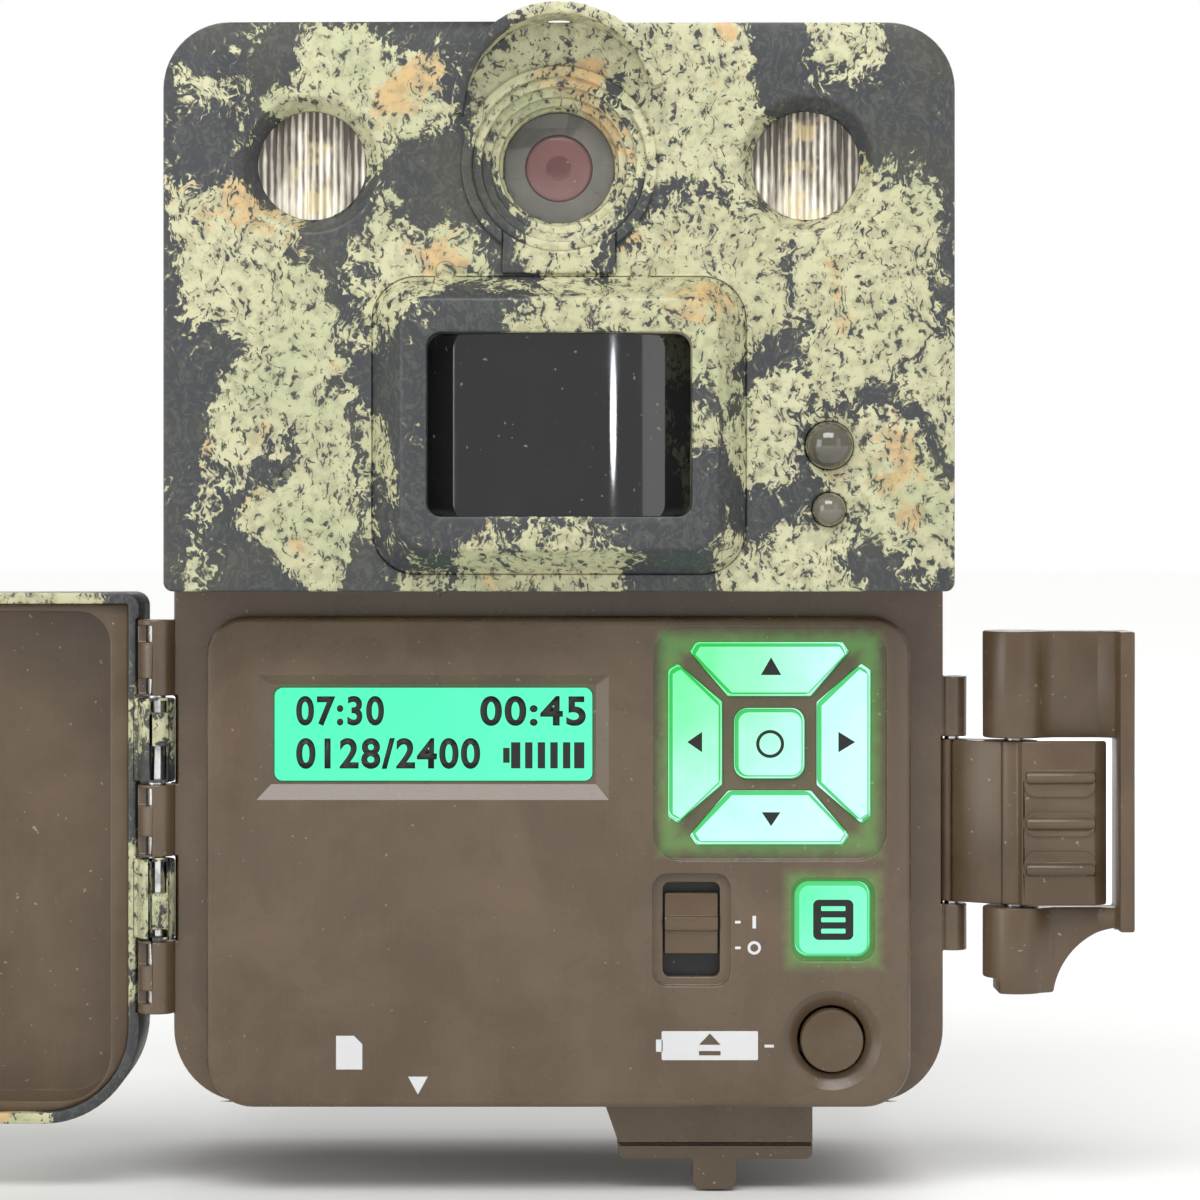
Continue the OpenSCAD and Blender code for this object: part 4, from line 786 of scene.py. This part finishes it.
def plate(name, x, z, w, h, front, thick, body, material, slot, round_by=0.0, corners=None, turn=0.0):
    """A flat printed shape with rounded or cut corners, its front that far behind the parting line."""
    bpy.ops.object.select_all(action="DESELECT")
    bpy.ops.mesh.primitive_plane_add(size=1, location=at(x, front, z), rotation=(math.pi / 2, 0, 0))
    obj = bpy.context.object
    obj.scale = (w * MM, h * MM, 1)
    bpy.ops.object.transform_apply(location=True, rotation=True, scale=True)
    centre = at(x, front, z)
    bpy.ops.object.mode_set(mode="EDIT")
    bpy.ops.mesh.select_mode(type="VERT")
    if round_by:
        bpy.ops.mesh.select_all(action="DESELECT")
        bpy.ops.object.mode_set(mode="OBJECT")
        for v in obj.data.vertices:
            v.select = corners is None or (v.co.x > centre.x, v.co.z > centre.z) in corners
        bpy.ops.object.mode_set(mode="EDIT")
        bpy.ops.mesh.bevel(offset=round_by * MM, segments=1 if corners else 5, affect="VERTICES")
    bpy.ops.mesh.select_all(action="SELECT")
    thicken(thick, centre, turn)
    return finished(obj, name, body, [material], slot)


def arrow(name, x, z, w, h, front, thick, body, material, slot, turn=0.0):
    """A flat triangle that points up before it is turned."""
    bpy.ops.object.select_all(action="DESELECT")
    bpy.ops.mesh.primitive_circle_add(vertices=3, radius=0.5, fill_type="NGON", location=at(x, front, z),
                                      rotation=(math.pi / 2, 0, 0))
    obj = bpy.context.object
    obj.scale = (w * MM / 0.866, h * MM / 0.75, 1)
    bpy.ops.object.transform_apply(location=True, rotation=True, scale=True)
    bpy.ops.object.mode_set(mode="EDIT")
    bpy.ops.mesh.select_all(action="SELECT")
    thicken(thick, at(x, front, z), turn)
    return finished(obj, name, body, [material], slot)


def ring(name, x, z, outer, inner, front, thick, body, material, slot):
    """A flat printed ring."""
    bpy.ops.object.select_all(action="DESELECT")
    bpy.ops.mesh.primitive_circle_add(vertices=40, radius=outer * MM, fill_type="NGON",
                                      location=at(x, front, z), rotation=(math.pi / 2, 0, 0))
    obj = bpy.context.object
    bpy.ops.object.transform_apply(location=True, rotation=True, scale=True)
    bpy.ops.object.mode_set(mode="EDIT")
    bpy.ops.mesh.select_all(action="SELECT")
    bpy.ops.mesh.inset(thickness=(outer - inner) * MM)
    bpy.ops.mesh.delete(type="FACE")
    bpy.ops.mesh.select_all(action="SELECT")
    thicken(thick, at(x, front, z))
    return finished(obj, name, body, [material], slot)


print_thick, key_print_thick = 0.06, 0.08
face, key_front = -16.0, front_of("key_up")
on_key = (key_front - 0.04, key_print_thick)
printed = (face - 0.03, print_thick, "root", mark_white, "brown_plastic")
printed_over = (face - 0.06, print_thick, "root", brown, "brown_plastic")
arrow("mark_up", 22.7, 46.9, 2.2, 1.9, *on_key, "up_key", mark_black, "key_cap")
arrow("mark_down", 22.7, 31.1, 2.0, 1.5, *on_key, "down_key", mark_black, "key_cap", 180)
arrow("mark_left", 14.8, 39.1, 2.2, 1.6, *on_key, "left_key", mark_black, "key_cap", 90)
arrow("mark_right", 30.5, 39.1, 2.2, 1.8, *on_key, "right_key", mark_black, "key_cap", -90)
ring("mark_ok", 22.6, 38.9, 1.5, 1.15, *on_key, "ok_key", mark_black, "key_cap")
plate("mark_mode", 29.35, 20.1, 4.3, 4.3, key_front - 0.04, print_thick, "mode_key", mark_black,
      "key_cap", 0.6)
for i, z in enumerate((21.3, 20.1, 18.9)):
    plate(f"mark_mode_line_{i + 1}", 29.35, z, 2.6, 0.5, key_front - 0.08, print_thick, "mode_key", mode_lit,
          "key_cap", 0.1)

plate("mark_on_dash", 19.15, 19.85, 0.6, 0.28, *printed, 0.05)
plate("mark_on", 20.9, 19.85, 0.38, 1.35, *printed, 0.05)
plate("mark_off_dash", 19.15, 17.1, 0.6, 0.28, *printed, 0.05)
ring("mark_off", 20.9, 17.1, 0.72, 0.42, *printed)
plate("mark_eject_label", 16.15, 6.65, 10.3, 3.1, *printed, 0.15)
plate("mark_eject_label_nub", 10.75, 6.65, 0.7, 1.3, *printed, 0.08)
arrow("mark_eject_arrow", 16.15, 7.15, 2.3, 1.2, *printed_over)
plate("mark_eject_bar", 16.15, 5.85, 2.3, 0.45, *printed_over, 0.06)
plate("mark_eject_dash", 22.5, 6.6, 1.0, 0.3, *printed, 0.05)
plate("mark_card", -22.4, 5.9, 2.8, 3.6, *printed, 0.9, {(True, True)})
arrow("mark_card_slot", -15.05, 2.7, 2.1, 1.9, *printed, 180)
print("marks placed")

# %% [markdown]
# ## The display's figures
# A two line character display shows plain figures: a clock, an interval, a picture count and a battery
# gauge. Each text becomes a mesh at once and is fitted into its own box, so that the size never depends
# on the font's habits.

# %% Figures on the display
def figures(name, text, x0, x1, z0, z1):
    """Plain numbers, stretched into a box on the display."""
    bpy.ops.object.select_all(action="DESELECT")
    bpy.ops.object.text_add(rotation=(math.pi / 2, 0, 0))
    obj = bpy.context.object
    obj.data.body = text
    obj.data.offset = 0.03
    obj.data.space_character = 1.12
    bpy.ops.object.convert(target="MESH")
    obj = bpy.context.object
    only(obj)
    bpy.ops.object.transform_apply(location=True, rotation=True, scale=True)
    bpy.ops.object.mode_set(mode="EDIT")
    bpy.ops.mesh.select_all(action="SELECT")
    bpy.ops.mesh.remove_doubles(threshold=0.0001)
    bpy.ops.mesh.extrude_region_move(TRANSFORM_OT_translate={"value": (0, 0.1, 0)})
    bpy.ops.mesh.select_all(action="SELECT")
    bpy.ops.mesh.normals_make_consistent(inside=False)
    bpy.ops.object.mode_set(mode="OBJECT")
    xs, ys, zs = zip(*[v.co for v in obj.data.vertices])
    low, high = at(x0, lcd_front - 0.05, z0), at(x1, lcd_front + 0.02, z1)
    for v in obj.data.vertices:
        v.co = Vector((low.x + (v.co.x - min(xs)) / (max(xs) - min(xs)) * (high.x - low.x),
                       low.y + (v.co.y - min(ys)) / (max(ys) - min(ys)) * (high.y - low.y),
                       low.z + (v.co.z - min(zs)) / (max(zs) - min(zs)) * (high.z - low.z)))
    return finished(obj, name, "root", [mark_black], "display")


lcd_front = front_of("lcd_window")
figures("figures_clock", "07:30", -28.1, -18.7, 40.8, 44.0)
figures("figures_interval", "00:45", -8.4, 2.9, 40.8, 44.0)
figures("figures_count", "0128/2400", -28.1, -8.4, 36.2, 39.5)
plate("gauge_tip", -5.6, 37.65, 0.7, 1.6, lcd_front - 0.05, 0.07, "root", mark_black, "display", 0.05)
plate("gauge_cap", -4.6, 37.65, 1.0, 2.8, lcd_front - 0.05, 0.07, "root", mark_black, "display", 0.05)
for i in range(4):
    plate(f"gauge_bar_{i + 1}", -3.2 + i * 1.35, 37.65, 0.8, 2.8, lcd_front - 0.05, 0.07, "root", mark_black,
          "display", 0.05)
plate("gauge_bar_5", 2.2, 37.65, 1.1, 2.8, lcd_front - 0.05, 0.07, "root", mark_black, "display", 0.05)
print("display front at", round(lcd_front, 2))

# %% [markdown]
# ## The eye of the camera
# Round the lens the moulding steps down in turned rings, which stop stray light from sliding along a
# smooth cone. One stepped outline spun about the lens makes them. A raised pad, round above and with a
# neck below, ties the lens to the sensor's frame.

# %% Stepped rings, pad and lens
lens_x, lens_z = middle_of("lens_window")
outline = [(9.25, -23.62), (9.12, -23.92), (8.15, -23.88), (8.05, -22.85), (7.2, -22.8), (7.1, -21.85),
           (6.35, -21.8), (6.2, -20.75), (5.95, -20.6), (6.3, -20.45)]
mesh = bpy.data.meshes.new("lens_rings")
mesh.from_pydata([at(lens_x + r, y, lens_z) for r, y in outline], [(i, (i + 1) % len(outline))
                                                                   for i in range(len(outline))], [])
rings = bpy.data.objects.new("lens_rings", mesh)
bpy.context.scene.collection.objects.link(rings)
only(rings)
bpy.ops.object.mode_set(mode="EDIT")
bpy.ops.mesh.select_all(action="SELECT")
bpy.ops.mesh.spin(steps=72, angle=2 * math.pi, center=tuple(at(lens_x, 0, lens_z)), axis=(0, 1, 0))
bpy.ops.mesh.select_all(action="SELECT")
bpy.ops.mesh.remove_doubles(threshold=0.00001)
bpy.ops.mesh.normals_make_consistent(inside=False)
bpy.ops.object.mode_set(mode="OBJECT")
soften(rings, 0.12, 2, 40)
finished(rings, "lens_rings", "root", [camo], "camo_plastic")

bpy.ops.object.select_all(action="DESELECT")
bpy.ops.mesh.primitive_cylinder_add(vertices=72, radius=0.0103, depth=0.0009,
                                    location=at(lens_x, -24.05, lens_z),
                                    rotation=(math.pi / 2, 0, 0))
pad = bpy.context.object
neck = block(-6.0, 6.0, -24.5, -23.6, 88.6, 96)
only(pad)
m = pad.modifiers.new("neck", "BOOLEAN")
m.operation, m.solver, m.object = "UNION", "EXACT", neck
bpy.ops.object.modifier_apply(modifier=m.name)
bpy.data.objects.remove(neck)
bpy.ops.object.select_all(action="DESELECT")
bpy.ops.mesh.primitive_cylinder_add(vertices=72, radius=0.00915, depth=0.004,
                                    location=at(lens_x, -24.05, lens_z),
                                    rotation=(math.pi / 2, 0, 0))
cut(pad, bpy.context.object)
soften(pad, 0.25, 3, 40)
finished(pad, "lens_pad", "root", [camo], "camo_plastic")

_, window_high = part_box("lens_window")
back = (window_high.y - PARTING) / MM
for name, radius, y, material in (("lens_element_red", 3.55, back + 0.55, lens_red),
                                  ("lens_element_pupil", 1.55, back + 0.25, lens_dark)):
    bpy.ops.object.select_all(action="DESELECT")
    bpy.ops.mesh.primitive_uv_sphere_add(segments=48, ring_count=24, radius=radius * MM,
                                         location=at(lens_x, y, lens_z), rotation=(math.pi / 2, 0, 0))
    bead = bpy.context.object
    bead.scale = (1, 1, 0.12)
    soften(bead, 0)
    finished(bead, name, "root", [material], "red_glass")
print("lens centre", lens_x, round(lens_z, 2), "window back", round(back, 2))

# %% [markdown]
# ## Ribbed flash windows
# The flash covers carry upright prisms that spread the light. A disc is sliced by a row of upright
# planes and every second line on its front is pulled forward, which gives the prisms in one go.

# %% Flash windows
for side in ("left", "right"):
    low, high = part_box("flash_window_" + side)
    centre = (low + high) / 2
    bpy.ops.object.select_all(action="DESELECT")
    bpy.ops.mesh.primitive_cylinder_add(vertices=80, radius=(high.x - low.x) / 2, depth=high.y - low.y,
                                        location=centre, rotation=(math.pi / 2, 0, 0))
    disc = bpy.context.object
    bpy.ops.object.transform_apply(location=True, rotation=True, scale=True)
    lines = [centre.x + (i - 14.5) * 0.00037 for i in range(30)]
    bpy.ops.object.mode_set(mode="EDIT")
    for x in lines:
        bpy.ops.mesh.select_all(action="SELECT")
        bpy.ops.mesh.bisect(plane_co=(x, 0, 0), plane_no=(1, 0, 0))
    bpy.ops.object.mode_set(mode="OBJECT")
    for v in disc.data.vertices:
        nearest = min(range(len(lines)), key=lambda i: abs(lines[i] - v.co.x))
        if v.co.y < centre.y and abs(lines[nearest] - v.co.x) < 0.00001 and nearest % 2:
            v.co.y -= 0.0004
    finished(disc, f"flash_window_{side}_ribbed", "root", [ribbed[side]], "clear_glass",
             "flash_window_" + side)
print("two windows with", len(lines), "lines")

# %% [markdown]
# ## Grip ribs on the latch
# Three raised loops give the thumb a hold on the lever's tab. Each is a rounded plate with a sunk middle.

# %% Ribs on the tab
for i, z in enumerate((34.6, 30.4, 26.2)):
    rib = plate(f"lever_rib_{i + 1}", 53.4, z, 7.6, 2.6, -17.32, 0.5, "lever", finishes["brown_plastic"],
                "brown_plastic", 1.25)
    only(rib)
    bpy.ops.object.mode_set(mode="EDIT")
    bpy.ops.mesh.select_mode(type="FACE")
    bpy.ops.mesh.select_all(action="DESELECT")
    bpy.ops.object.mode_set(mode="OBJECT")
    for f in rib.data.polygons:
        f.select = f.normal.y < -0.9
    bpy.ops.object.mode_set(mode="EDIT")
    bpy.ops.mesh.inset(thickness=0.00055)
    bpy.ops.transform.translate(value=(0, 0.00028, 0))
    bpy.ops.object.mode_set(mode="OBJECT")
    soften(rib, 0.1, 2, 40)
print("three ribs")
